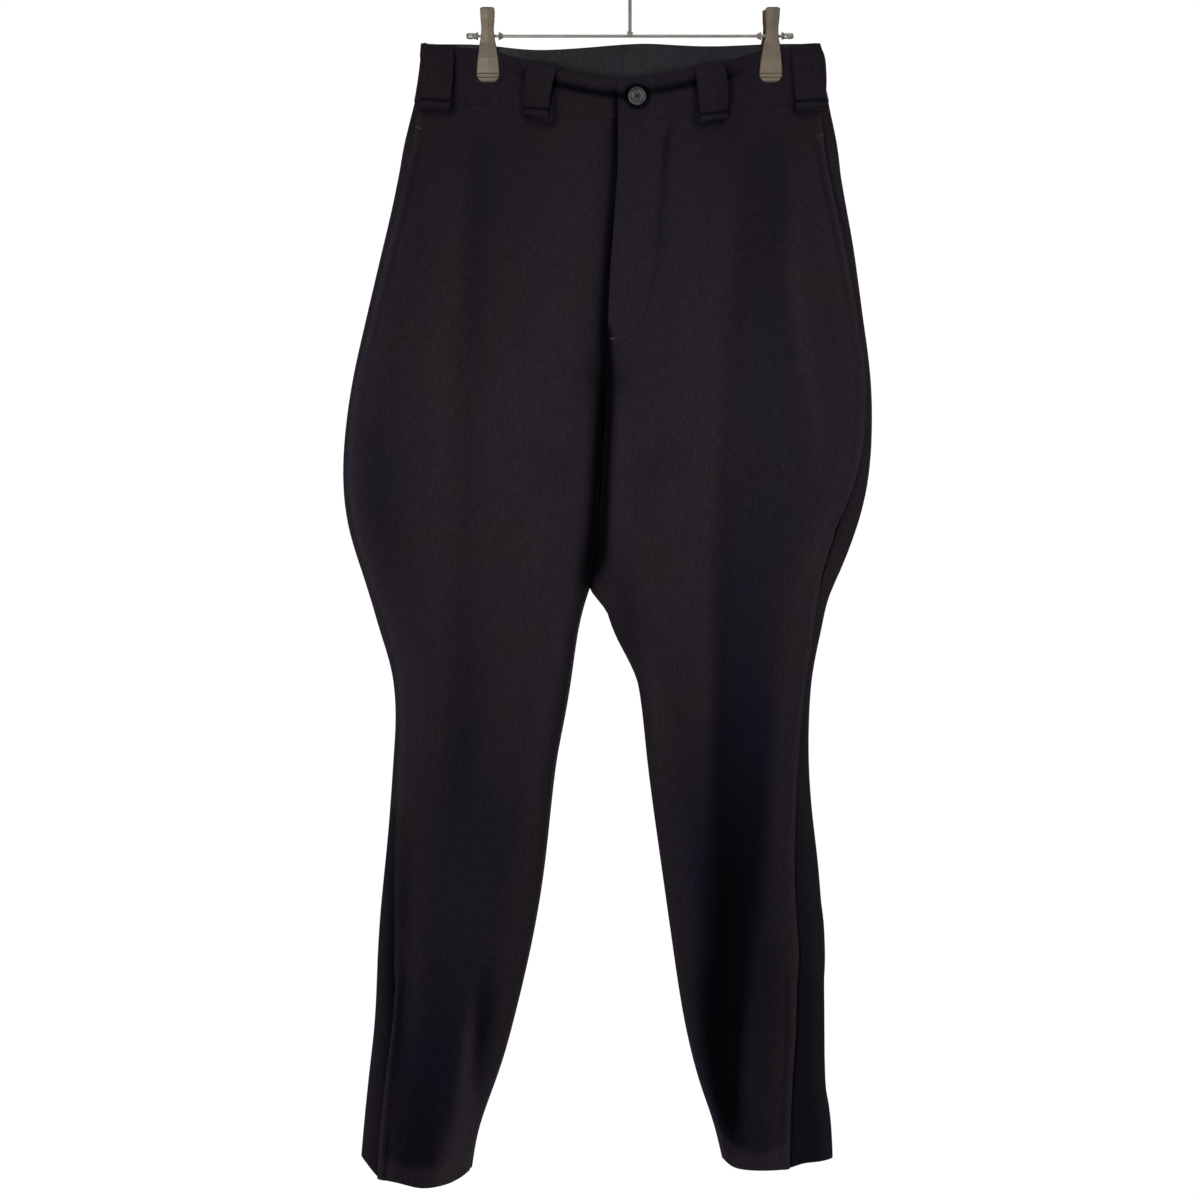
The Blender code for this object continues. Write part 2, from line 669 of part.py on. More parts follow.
def signed_volume(verts, faces):
    """Return six times the volume that the faces enclose."""
    total = 0.0
    for face in faces:
        a = np.array(verts[face[0]])
        for k in range(1, len(face) - 1):
            total += float(np.dot(a, np.cross(verts[face[k]], verts[face[k + 1]])))
    return total


def finish_mesh(name, verts, faces, material, angle=40.0):
    """Make an object whose faces point outward, smooth apart from its sharp edges."""
    if signed_volume(verts, faces) < 0.0:
        faces = [tuple(reversed(face)) for face in faces]
    mesh = bpy.data.meshes.new(name)
    mesh.from_pydata(verts, [], faces)
    mesh.materials.append(material)
    mesh.validate()
    mesh.shade_smooth()
    mesh.set_sharp_from_angle(angle=math.radians(angle))
    obj = bpy.data.objects.new(name, mesh)
    bpy.context.scene.collection.objects.link(obj)
    return obj


def make_panel(name, leg, face, material):
    """Make one leg's front or back, from the waistband's seam to the hem."""
    columns = FRONT_COLUMNS if face == "front" else BACK_COLUMNS
    outer = []
    inner = []
    for index, drop in enumerate(row_drops(leg_rows(leg)[-1].drop)):
        lap = fly_amount(drop)[0] if leg == "right" and face == "front" else 0.0
        lift = 0.5 * SEAM_GAP if index == 0 else 0.0
        outer_row = []
        inner_row = []
        for point, normal in panel_slice(leg, face, drop, columns):
            z = level(face, leg, point[0], drop) - lift
            inside = point - normal * WALL
            outer_row.append((*keep_side(point, leg, drop, lap), z))
            inner_row.append((*keep_side(inside, leg, drop, lap), z))
        outer.append(outer_row)
        inner.append(inner_row)
    return grid_solid(name, outer, inner, material)


def strip_offset(x, share):
    """Return how far the front waistband's upper part moves forward at a point."""
    window = smooth_step(STRIP_FROM, STRIP_FROM + STRIP_FADE, x)
    window *= 1.0 - smooth_step(STRIP_TO - STRIP_FADE, STRIP_TO, x)
    return window * smooth_curve([s[0] for s in STRIP], [s[1] for s in STRIP], share)


def make_front_band(name, leg, material):
    """Make one front piece of the waistband. The right one runs on under the left."""
    outer = []
    inner = []
    for share in BAND_ROWS:
        drop = share * WAISTBAND
        cut = Slice(leg, drop)
        stop = cut.seam - 0.5 * SEAM_GAP
        if leg == "right":
            lengths = [-UNDERLAP, -0.5 * UNDERLAP, 1.0]
            lengths += list(spaced(1.0 + LAP_FADE, stop, BAND_COLUMNS - 1))
        else:
            lengths = spaced(0.5 * SEAM_GAP, stop, BAND_COLUMNS)
        lift = 0.5 * SEAM_GAP if share == 1.0 else 0.0
        outer_row = []
        inner_row = []
        for length in lengths:
            point, normal = cut.at(length)
            dip = 1.0 - smooth_step(2.0, 2.0 + LAP_FADE, length) if leg == "right" else 0.0
            point = point - normal * (WALL + FLY_CLEAR) * dip
            point[1] -= strip_offset(point[0], share)
            inside = point - normal * WALL
            if leg == "left":
                inside = keep_side(inside, leg, drop)
            z = level("front", leg, point[0], drop) + lift
            outer_row.append((point[0], point[1], z))
            inner_row.append((inside[0], inside[1], z))
        outer.append(outer_row)
        inner.append(inner_row)
    return grid_solid(name, outer, inner, material)


def back_band_rows(first_depth, second_depth, skip, shares):
    """Return two grids at two depths inside the back waistband's outer face.

    Args:
        first_depth: depth of the first grid inside the outer face, in mm.
        second_depth: depth of the second grid.
        skip: how many columns to leave out at each side seam.
        shares: the rows, as shares of the waistband's height.
    """
    grids = ([], [])
    for share in shares:
        drop = share * WAISTBAND
        lift = 0.5 * SEAM_GAP if share == 1.0 else 0.0
        rows = ([], [])
        for leg in ("right", "left"):
            cut = Slice(leg, drop)
            lengths = list(spaced(cut.seam + 0.5 * SEAM_GAP, cut.end, BAND_COLUMNS))[skip:]
            if leg == "left":
                lengths = lengths[-2::-1]
            for length in lengths:
                point, normal = cut.at(length)
                z = level("back", leg, point[0], drop) + lift
                for row, depth in zip(rows, (first_depth, second_depth)):
                    moved = point - normal * depth
                    row.append((moved[0], moved[1], z))
        grids[0].append(rows[0])
        grids[1].append(rows[1])
    return grids


def make_back_band(material, facing_material):
    """Make the back of the waistband and the facing that shows inside it."""
    outer, inner = back_band_rows(0.0, WALL, 0, BAND_ROWS)
    band = grid_solid("waistband_back", outer, inner, material)
    near = WALL + SEAM_GAP
    shares = (0.02,) + BAND_ROWS[1:-1] + (0.95,)
    outer, inner = back_band_rows(near, near + FACING_WALL, 3, shares)
    grid_solid("waistband_facing_back", outer, inner, facing_material)
    return band


def surface_tree(objects):
    """Return a tree of the objects' faces, for finding the cloth that a piece lies on."""
    verts = []
    polygons = []
    for obj in objects:
        first = len(verts)
        verts += [v.co for v in obj.data.vertices]
        polygons += [tuple(first + k for k in p.vertices) for p in obj.data.polygons]
    return BVHTree.FromPolygons(verts, polygons)


def cloth_under(tree, face, x, across, drop):
    """Return a point on the outermost cloth and the outward normal there.

    Args:
        tree: the faces of the cloth.
        face: front or back.
        x: x, in mm, of the strip's middle.
        across: how far the point lies from the middle along the cloth, toward +X.
        drop: drop on the unsagged pattern; above zero it stays on the top edge.
    """
    centre = column_at(CENTRE, "drop", "x", 0.0)
    leg = "right" if x < centre else "left"
    cut = Slice(leg, max(drop, 0.0))
    along = across if (leg == "left") == (face == "front") else -across
    length = cut.length_at_x(x, face) + along
    if length > cut.end:
        point, normal = cut.at(cut.end)
        point = point + np.array([across, 0.0])
    else:
        point, normal = cut.at(length)
    z = level(face, leg, point[0], drop)
    base_z = min(z, level(face, leg, point[0], 1.6))
    ray = Vector((-normal[0], -normal[1], 0.0))
    heights = [0.0]
    for aside in (-1.6, 0.0, 1.6):
        for up in (-1.6, 0.0, 1.6):
            start = point + normal * RAY_START + np.array([-normal[1], normal[0]]) * aside
            origin = Vector((start[0] * MM, start[1] * MM, (base_z + up) * MM))
            distance = tree.ray_cast(origin, ray, 2.0 * RAY_START * MM)[3]
            if distance is not None:
                heights.append(RAY_START - distance / MM)
    return point + normal * max(heights), normal, z


def make_belt_loop(row, tree, material):
    """Make a belt loop: a doubled strip that stands off the band between its ends."""
    outer = []
    inner = []
    for share, gap, face_height in LOOP_PROFILE:
        if row.face == "back":
            share = 0.02 + share * 0.98 if share > 0.0 else 0.005
        middle = row.x_top + (row.x_low - row.x_top) * share
        outer_row = []
        inner_row = []
        middles = (-0.24, 0.0, 0.24) if row.name.endswith("side") else (0.0,)
        for across in (-0.5, -0.46, *middles, 0.46, 0.5):
            offset = across * LOOP_WIDTH
            point, normal, z = cloth_under(tree, row.face, middle, offset, share * WAISTBAND)
            edge = 0.5 if abs(across) == 0.5 else 0.0
            high = point + normal * (face_height - edge)
            low = point + normal * gap
            outer_row.append((high[0], high[1], z))
            inner_row.append((low[0], low[1], z))
        outer.append(outer_row)
        inner.append(inner_row)
    return grid_solid(row.name, outer, inner, material)


def lathe(name, profile, segments, material, axis="x", centre=(0.0, 0.0, 0.0)):
    """Turn a closed or end-capped profile of (along, radius), in mm, about an axis."""
    verts = []
    for along, radius in profile:
        for k in range(segments):
            angle = 2.0 * math.pi * k / segments
            ring = (radius * math.cos(angle), radius * math.sin(angle))
            local = (along, *ring) if axis == "x" else (ring[0], along, ring[1])
            verts.append(tuple((c + o) * MM for c, o in zip(local, centre)))
    faces = []
    for i in range(len(profile) - 1):
        for k in range(segments):
            a = i * segments + k
            b = i * segments + (k + 1) % segments
            faces.append((a, b, b + segments, a + segments))
    faces.append(tuple(reversed(range(segments))))
    faces.append(tuple(range(len(verts) - segments, len(verts))))
    return finish_mesh(name, verts, faces, material)


def make_bar(material):
    """Make the hanger's bar with its end caps and the collars beside the clips."""
    half = []
    inside = 0.5 * (CLIPS[1].x_top + CLIPS[1].x_low - CLIP_ROOM)
    for face, away in ((inside, -1.0), (inside + CLIP_ROOM, 1.0)):
        thin = (face + away * COLLAR_LENGTH, COLLAR_NECK)
        first, last = sorted((thin, (face, COLLAR_RADIUS)))
        half += [(first[0] - 0.05, BAR_RADIUS), first, last, (last[0] + 0.05, BAR_RADIUS)]
    cap = BAR_HALF - CAP_LENGTH
    half += [(cap, BAR_RADIUS)] + [(cap + along, radius) for along, radius in CAP_PROFILE]
    profile = [(-x, r) for x, r in reversed(half)] + [(0.0, BAR_RADIUS)] + half
    lathe("hanger_bar", profile, 14, material, centre=(0.0, 0.0, -HOOK_TO_BAR))


def make_hook(material):
    """Make the stem, which stands on the bar, and the hook at its top."""
    radius = HOOK_INSIDE + WIRE_RADIUS
    path = [(0.0, -HOOK_TO_BAR + BAR_RADIUS + SEAM_GAP), *STEM_PATH]
    for k in range(BEND_POINTS):
        angle = math.radians(BEND_FROM + BEND_STEP * k)
        path.append((radius * math.cos(angle), radius * math.sin(angle) - HOOK_INSIDE))
    curve = bpy.data.curves.new("hanger_hook", "CURVE")
    curve.dimensions = "3D"
    curve.bevel_depth = WIRE_RADIUS * MM
    curve.bevel_resolution = 2
    curve.use_fill_caps = True
    line = curve.splines.new("POLY")
    line.points.add(len(path) - 1)
    for point, (x, z) in zip(line.points, path):
        point.co = (x * MM, 0.0, z * MM, 1.0)
    for point in line.points[:2]:
        point.radius = FOOT_FLARE
    line.use_smooth = True
    curve.materials.append(material)
    bpy.context.scene.collection.objects.link(bpy.data.objects.new("hanger_hook", curve))


def make_lever(name, clip, front, material):
    """Make one lever of a clip: a plate with side flanges and a rolled lip."""
    side = -1.0 if front else 1.0
    shift = 0.0 if front else clip.back_shift
    length = LEVER[0].z - LEVER[-1].z
    outer = []
    inner = []
    for row in LEVER:
        share = (LEVER[0].z - row.z) / length
        middle = clip.x_top + (clip.x_low - clip.x_top) * share + shift
        width = row.half_width
        crown = 0.35
        z = -HOOK_TO_BAR + row.z
        across = ((-width, row.flange), (-width, row.outer - 0.6), (-width + 0.8, row.outer))
        across += ((0.0, row.outer + crown), (width - 0.8, row.outer))
        across += ((width, row.outer - 0.6), (width, row.flange))
        within = ((1.0 - width, row.flange), (1.0 - width, row.inner - 0.01), (1.6 - width, row.inner))
        within += ((0.0, row.inner), (width - 1.6, row.inner))
        within += ((width - 1.0, row.inner - 0.01), (width - 1.0, row.flange))
        outer.append([(middle + x, side * y, z) for x, y in across])
        inner.append([(middle + x, side * y, z) for x, y in within])
    return grid_solid(name, outer, inner, material)


def make_spring(name, clip, material):
    """Make the coil spring that lies round the bar between a clip's levers."""
    middle = 0.5 * (clip.x_top + clip.x_low)
    clear = BAR_RADIUS + SEAM_GAP
    loop = []
    for k in range(2 * SPRING_TURNS + 1):
        wall = SPRING_CREST if k % 2 else SPRING_GROOVE
        loop.append(((k - SPRING_TURNS) * 0.5 * SPRING_PITCH, clear + wall))
    loop += [(loop[-1][0], clear), (loop[0][0], clear)]
    segments = 12
    verts = []
    for along, radius in loop:
        for k in range(segments):
            angle = 2.0 * math.pi * k / segments
            z = radius * math.sin(angle) - HOOK_TO_BAR
            verts.append(((middle + along) * MM, radius * math.cos(angle) * MM, z * MM))
    faces = []
    for i in range(len(loop)):
        for k in range(segments):
            a = i * segments + k
            b = i * segments + (k + 1) % segments
            j = (i + 1) % len(loop)
            faces.append((a, b, j * segments + (k + 1) % segments, j * segments + k))
    return finish_mesh(name, verts, faces, material)


def make_button(material):
    """Make the four-hole button, which stands on the left front of the waistband."""
    z = height_of(BUTTON_DROP)
    front = column_at(DEPTHS, "drop", "front", 20.0) + BUTTON_STAND
    profile = [(-front - out, share * BUTTON_RADIUS) for out, share in BUTTON_PROFILE]
    button = lathe("waist_button", profile, 28, material, axis="y", centre=(BUTTON_X, 0.0, z))
    for dx in (-HOLE_ASIDE, HOLE_ASIDE):
        for dz in (-HOLE_ASIDE, HOLE_ASIDE):
            bpy.ops.mesh.primitive_cylinder_add(
                vertices=10,
                radius=HOLE_RADIUS * MM,
                depth=12.0 * MM,
                location=((BUTTON_X + dx) * MM, -(front + 1.5) * MM, (z + dz) * MM),
                rotation=(math.pi / 2.0, 0.0, 0.0),
            )
            cutter = bpy.context.active_object
            hole = button.modifiers.new("hole", "BOOLEAN")
            hole.operation = "DIFFERENCE"
            hole.object = cutter
            bpy.context.view_layer.objects.active = button
            bpy.ops.object.modifier_apply(modifier=hole.name)
            bpy.data.objects.remove(cutter, do_unlink=True)
    return button


def build():
    """Build the whole object."""
    clear_scene()
    wool = make_material("wool_twill", (0.016, 0.013, 0.018), 0.9)
    facing = make_material("facing_twill", (0.030, 0.032, 0.032), 0.85)
    horn = make_material("button_horn", (0.050, 0.048, 0.048), 0.45)
    nickel = make_material("clip_nickel", (0.42, 0.36, 0.29), 0.35, 1.0)
    steel = make_material("hanger_steel", (0.40, 0.39, 0.37), 0.3, 1.0)
    cloth = []
    for leg, mark in (("right", "r"), ("left", "l")):
        cloth.append(make_panel("front_panel_" + mark, leg, "front", wool))
        cloth.append(make_panel("back_panel_" + mark, leg, "back", wool))
        cloth.append(make_front_band("waistband_front_" + mark, leg, wool))
    cloth.append(make_back_band(wool, facing))
    tree = surface_tree(cloth)
    for row in LOOPS:
        make_belt_loop(row, tree, wool)
    make_button(horn)
    make_bar(steel)
    make_hook(steel)
    for clip in CLIPS:
        make_lever(clip.name + "_lever_front", clip, True, nickel)
        make_lever(clip.name + "_lever_back", clip, False, nickel)
        make_spring(clip.name + "_spring", clip, steel)


build()
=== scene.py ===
"""The looks of a pair of wool jodhpurs on a clip hanger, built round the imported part.

Everything is in metres in the part's own frame: +Z up, -Y the front with the fly, +X the
wearer's left. The origin is inside the top of the hanger's hook. Places on the garment are
given as millimetres of x and of drop below the level waist line.
"""

import logging
import math
from dataclasses import dataclass, field
from enum import Enum
from typing import NamedTuple, Sequence

import bmesh
import bpy
import numpy as np
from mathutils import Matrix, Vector, noise
from mathutils.bvhtree import BVHTree


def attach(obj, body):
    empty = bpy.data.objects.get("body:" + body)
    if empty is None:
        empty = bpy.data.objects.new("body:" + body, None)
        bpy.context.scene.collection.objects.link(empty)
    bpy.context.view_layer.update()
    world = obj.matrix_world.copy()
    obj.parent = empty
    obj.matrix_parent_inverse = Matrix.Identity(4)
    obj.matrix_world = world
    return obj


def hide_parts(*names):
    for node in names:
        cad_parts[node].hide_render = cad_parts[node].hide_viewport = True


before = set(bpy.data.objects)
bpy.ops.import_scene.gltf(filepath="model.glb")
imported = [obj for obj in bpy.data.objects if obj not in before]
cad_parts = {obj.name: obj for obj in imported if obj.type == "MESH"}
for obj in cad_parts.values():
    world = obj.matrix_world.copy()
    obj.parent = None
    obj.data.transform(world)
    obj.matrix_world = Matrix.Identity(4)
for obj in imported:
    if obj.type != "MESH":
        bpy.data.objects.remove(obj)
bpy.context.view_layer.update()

LOG = logging.getLogger("jodhpurs")

MM = 0.001
WAIST_LEVEL = 0.1159  # the level waist line, below the hook's inside top
BUTTON_AT = (6.6, 48.4)  # the waist button's middle, in mm of x and drop
WALL_TURN = math.radians(50.0)  # faces that meet at more than this are a wall's two sides
RAY_START = 0.3  # how far outside the garment the rays that look for cloth start
ROOT = "root"


class Face(Enum):
    """Which side of the garment a piece belongs to."""

    FRONT = -1.0
    BACK = 1.0


class Fineness(Enum):
    """How often a piece's mesh is divided."""

    MEDIUM = 2
    FINE = 3


# ---------------------------------------------------------------- finishes


class Graph:
    """A small helper that builds a material's nodes."""

    def __init__(self, name: str) -> None:
        """Start an empty material with a Principled shader and its output.

        Args:
            name: the material's name.
        """
        self.material: bpy.types.Material = bpy.data.materials.new(name)
        self.material.use_nodes = True
        self.tree: bpy.types.NodeTree = self.material.node_tree
        self.tree.nodes.clear()
        self.out = self.tree.nodes.new("ShaderNodeOutputMaterial")
        self.shader = self.tree.nodes.new("ShaderNodeBsdfPrincipled")
        self.link(self.shader.outputs["BSDF"], self.out.inputs["Surface"])

    def link(self, source: bpy.types.NodeSocket, target: bpy.types.NodeSocket) -> None:
        """Join two sockets."""
        self.tree.links.new(source, target)

    def node(self, kind: str, values: dict | None = None, **settings: object) -> bpy.types.Node:
        """Add a node.

        Args:
            kind: the node's type without the ShaderNode prefix.
            values: input name or number to a value or to a socket to join.
            **settings: attributes of the node itself.

        Returns:
            The new node.
        """
        made = self.tree.nodes.new("ShaderNode" + kind)
        for key, value in settings.items():
            setattr(made, key, value)
        for key, value in (values or {}).items():
            if isinstance(value, bpy.types.NodeSocket):
                self.link(value, made.inputs[key])
            else:
                made.inputs[key].default_value = value
        return made

    def math(self, operation: str, first: object, second: object = 0.0) -> bpy.types.NodeSocket:
        """Return the result of a Math node on two numbers or sockets."""
        return self.node("Math", {0: first, 1: second}, operation=operation).outputs[0]

    def place(self) -> bpy.types.NodeSocket:
        """Return the place on the piece, in its own metres."""
        return self.node("TexCoord").outputs["Object"]

    def millimetres(self) -> bpy.types.NodeSocket:
        """Return the place on the piece, in mm."""
        return self.scaled(self.place(), 1000.0, 1000.0, 1000.0)

    def scaled(self, place: bpy.types.NodeSocket, *scale: float) -> bpy.types.NodeSocket:
        """Return a place with its three axes scaled."""
        return self.node("Mapping", {"Vector": place, "Scale": scale}).outputs[0]

    def noise(self, place: bpy.types.NodeSocket, scale: float, **settings: float) -> bpy.types.NodeSocket:
        """Return noise of 0 to 1 at a place, its inputs named in lower case."""
        values = {name.capitalize(): value for name, value in settings.items()}
        return self.node("TexNoise", {"Vector": place, "Scale": scale, **values}).outputs["Fac"]

    def set(self, **values: object) -> bpy.types.Material:
        """Set some of the shader's inputs.

        Args:
            **values: each input's name, its words joined by underlines, and its value.

        Returns:
            The finished material.
        """
        for name, value in values.items():
            self.shader.inputs[name.replace("_", " ")].default_value = value
        return self.material

    def ramp(
        self,
        source: bpy.types.NodeSocket,
        low: float,
        high: float,
        to_low: float = 0.0,
        to_high: float = 1.0,
    ) -> bpy.types.NodeSocket:
        """Map a value smoothly from one range to another.

        Args:
            source: the value.
            low: where the result starts to change.
            high: where it stops.
            to_low: the result below low.
            to_high: the result above high.

        Returns:
            The result's socket.
        """
        made = self.node(
            "MapRange",
            {"Value": source, 1: low, 2: high, 3: to_low, 4: to_high},
            interpolation_type="SMOOTHSTEP",
        )
        return made.outputs[0]

    def mix(self, share: object, first: object, second: object) -> bpy.types.NodeSocket:
        """Return two colours mixed by a share."""
        made = self.node("Mix", {0: share, 6: first, 7: second}, data_type="RGBA")
        return made.outputs[2]

    def bump(self, height: bpy.types.NodeSocket, distance: float, strength: float = 1.0) -> None:
        """Drive the shader's normal from a height in the given distance."""
        made = self.node("Bump", {"Height": height, "Distance": distance, "Strength": strength})
        self.link(made.outputs["Normal"], self.shader.inputs["Normal"])


def rgba(colour: Sequence[float], scale: float = 1.0) -> tuple[float, float, float, float]:
    """Return a colour with its alpha, brightened by scale."""
    red, green, blue = (c * scale for c in colour)
    return red, green, blue, 1.0


@dataclass(frozen=True)
class TwillFinish:
    """A twill cloth: diagonal ribs under a nap, with lint, a slow drift of tone, and painted shade and
    highlights read from its points.
    """

    name: str
    colour: tuple[float, float, float]
    warm: tuple[float, float, float]
    pitch: float = 1.05
    rib: float = 0.10
    rib_tone: float = 0.16
    nap_and_painted_shading: float = 0.30
    sheen: float = 0.015
    sheen_tint: tuple[float, float, float] = (0.70, 0.58, 0.66)
    roughness: float = 0.88
    lint: float = 0.6
    lint_scale: float = 0.075
    lint_colour: tuple[float, float, float] = (0.07, 0.065, 0.07)
    shadow_tint: tuple[float, float, float] = (0.82, 0.92, 1.25)

    def material(self) -> bpy.types.Material:
        """Build the cloth's look.

        Returns:
            The cloth's material.
        """
        g = Graph(self.name)
        metric = g.millimetres()
        weave = self.weave(g, metric)
        nap_and_painted_shading = g.noise(metric, 0.9, detail=6.0, roughness=0.72)
        shade = g.math("ADD", g.ramp(nap_and_painted_shading, 0.25, 0.75, 0.72, 1.22), g.math("MULTIPLY", weave, self.rib_tone))
        streaks = g.noise(g.scaled(metric, 0.9, 0.9, 0.16), 0.8, detail=2.0)
        shade = g.math("MULTIPLY", shade, g.ramp(streaks, 0.3, 0.7, 0.86, 1.14))
        g.link(self.tone(g, metric, shade), g.shader.inputs["Base Color"])
        height = g.math("ADD", g.math("MULTIPLY", weave, self.rib), g.math("MULTIPLY", nap_and_painted_shading, self.nap_and_painted_shading))
        g.bump(height, 1.0 * MM, 0.9)
        return g.set(
            Roughness=self.roughness,
            Specular_IOR_Level=0.05,
            Sheen_Weight=self.sheen,
            Sheen_Roughness=0.4,
            Sheen_Tint=rgba(self.sheen_tint),
        )

    def weave(self, g: Graph, metric: bpy.types.NodeSocket) -> bpy.types.NodeSocket:
        """Make the twill's ribs, which run up to the right round the garment.

        Args:
            g: the material's nodes.
            metric: the place in mm.

        Returns:
            The ribs' height, from 0 to 1.
        """
        at = g.node("SeparateXYZ", {0: metric})
        facing = g.node("SeparateXYZ", {0: g.node("TexCoord").outputs["Normal"]})
        sideways = g.math("GREATER_THAN", g.math("ABSOLUTE", facing.outputs[0]), 0.72)
        across = g.node("Mix", {0: sideways, 2: at.outputs[0], 3: at.outputs[1]}).outputs[0]
        fuzz = g.noise(metric, 0.55, detail=3.0, roughness=0.6)
        diagonal = g.math("ADD", across, at.outputs[2])
        wander = g.math("MULTIPLY", fuzz, 0.9)
        phase = g.math("MULTIPLY", g.math("ADD", diagonal, wander), 2.0 * math.pi / self.pitch)
        rib = g.ramp(g.math("SINE", phase), -0.9, 0.9)
        yarn = g.math("MULTIPLY", g.math("SUBTRACT", across, at.outputs[2]), 4.4 / self.pitch)
        floats = g.ramp(g.math("SINE", yarn), -1.0, 1.0, 0.75, 1.0)
        return g.math("MULTIPLY", rib, floats)

    def tone(
        self, g: Graph, metric: bpy.types.NodeSocket, shade: bpy.types.NodeSocket
    ) -> bpy.types.NodeSocket:
        """Colour the cloth by its drift, the shade and highlights painted into its points, and its lint.

        Args:
            g: the material's nodes.
            metric: the place in mm.
            shade: how bright the weave and nap are.

        Returns:
            The cloth's colour.
        """
        drift = g.noise(metric, 0.009, detail=3.0, roughness=0.5)
        tone = g.mix(g.ramp(drift, 0.36, 0.64), rgba(self.colour), rgba(self.warm))
        # Painted shade and highlight: each point's stored value darkens or lightens the colour.
        painted_shade = g.node("Attribute", attribute_name="nap_and_painted_shading").outputs["Fac"]
        shade = g.math("MULTIPLY", shade, g.math("ADD", painted_shade, 1.0))
        # Painted shade also turns the colour cooler and bluer.
        cool = g.node("VectorMath", {0: tone, 1: self.shadow_tint}, operation="MULTIPLY")
        tone = g.mix(g.ramp(painted_shade, 0.0, -0.5), tone, cool.outputs[0])
        shaded_tone = g.node("VectorMath", {0: tone, "Scale": shade}, operation="SCALE").outputs[0]
        cell = g.node("TexVoronoi", {"Vector": metric, "Scale": self.lint_scale}, feature="F1")
        near = g.math("LESS_THAN", cell.outputs["Distance"], 0.045)
        chosen = g.node("SeparateColor", {0: cell.outputs["Color"]}).outputs[0]
        speck = g.math("MULTIPLY", near, g.math("GREATER_THAN", chosen, 0.72))
        return g.mix(g.math("MULTIPLY", speck, self.lint), shaded_tone, rgba(self.lint_colour))


@dataclass(frozen=True)
class ThreadFinish:
    """Sewing thread, twisted, a touch glossier than the cloth."""

    name: str
    colour: tuple[float, float, float]
    roughness: float = 0.6

    def material(self) -> bpy.types.Material:
        """Build the thread's look.

        Returns:
            The thread's material.
        """
        g = Graph(self.name)
        at = g.node("SeparateXYZ", {0: g.millimetres()})
        turn = g.math("MULTIPLY", g.math("ADD", at.outputs[0], at.outputs[2]), 11.0)
        ply = g.ramp(g.math("SINE", turn), -1.0, 1.0)
        shade = g.math("ADD", g.math("MULTIPLY", ply, 0.5), 0.75)
        tint = g.node("VectorMath", {0: self.colour, "Scale": shade}, operation="SCALE")
        g.link(tint.outputs[0], g.shader.inputs["Base Color"])
        g.bump(ply, 0.1 * MM, 0.6)
        return g.set(Roughness=self.roughness, Specular_IOR_Level=0.3)


@dataclass(frozen=True)
class HornFinish:
    """A grey mottled button, half glossy, with paler rubbed edges."""

    name: str
    dark: tuple[float, float, float] = (0.022, 0.020, 0.021)
    pale: tuple[float, float, float] = (0.085, 0.072, 0.080)
    roughness: float = 0.34

    def material(self) -> bpy.types.Material:
        """Build the button's look.

        Returns:
            The button's material.
        """
        g = Graph(self.name)
        metric = g.scaled(g.place(), 1000.0, 1000.0, 600.0)
        cloud = g.noise(metric, 0.28, detail=5.0, distortion=1.4)
        grain = g.noise(metric, 2.4, detail=3.0)
        body = g.mix(g.ramp(cloud, 0.40, 0.66), rgba(self.dark), rgba(self.pale))
        rubbed = g.ramp(g.node("NewGeometry").outputs["Pointiness"], 0.52, 0.62, 0.0, 0.5)
        g.link(g.mix(rubbed, body, rgba(self.pale, 1.3)), g.shader.inputs["Base Color"])
        g.link(g.ramp(grain, 0.3, 0.7, self.roughness, self.roughness + 0.16), g.shader.inputs["Roughness"])
        g.bump(grain, 0.12 * MM, 0.4)
        return g.material


@dataclass(frozen=True)
class MetalFinish:
    """Plated metal, brushed along one axis, a little mottled."""

    name: str
    colour: tuple[float, float, float]
    roughness: float
    brush: tuple[float, float, float]
    metallic: float
    mottle: float
    depth: float = 0.05

    def material(self) -> bpy.types.Material:
        """Build the metal's look.

        Returns:
            The metal's material.
        """
        g = Graph(self.name)
        lines = g.noise(g.scaled(g.place(), *self.brush), 1.0, detail=4.0, roughness=0.6)
        share = g.ramp(g.noise(g.place(), 190.0, detail=4.0), 0.35, 0.65)
        tone = g.mix(share, rgba(self.colour, 1.0 - self.mottle), rgba(self.colour, 1.0 + self.mottle))
        g.link(tone, g.shader.inputs["Base Color"])
        rough = g.ramp(lines, 0.3, 0.7, self.roughness - 0.06, self.roughness + 0.1)
        g.link(rough, g.shader.inputs["Roughness"])
        g.bump(lines, self.depth * MM, 0.5)
        return g.set(Metallic=self.metallic)


@dataclass(frozen=True)
class StudioFinish:
    """The white paper of the floor, which glows a little so that it stays pale."""

    name: str = "studio_paper"
    colour: tuple[float, float, float] = (0.92, 0.92, 0.92)
    glow: float = 0.3

    def material(self) -> bpy.types.Material:
        """Build the paper's look.

        Returns:
            The paper's material.
        """
        g = Graph(self.name)
        g.bump(g.noise(g.place(), 300.0, detail=2.0), 0.1 * MM, 0.2)
        colour = rgba(self.colour)
        return g.set(
            Base_Color=colour, Roughness=0.9, Emission_Color=colour, Emission_Strength=self.glow
        )


WOOL = TwillFinish("wool_twill", (0.0186, 0.0146, 0.0214), (0.0196, 0.0150, 0.0188))
FACING = TwillFinish(
    "facing_twill",
    (0.040, 0.043, 0.046),
    (0.030, 0.031, 0.034),
    pitch=0.8,
    rib=0.05,
    nap_and_painted_shading=0.10,
    sheen=0.1,
    sheen_tint=(0.7, 0.75, 0.75),
    roughness=0.75,
    lint=0.2,
)
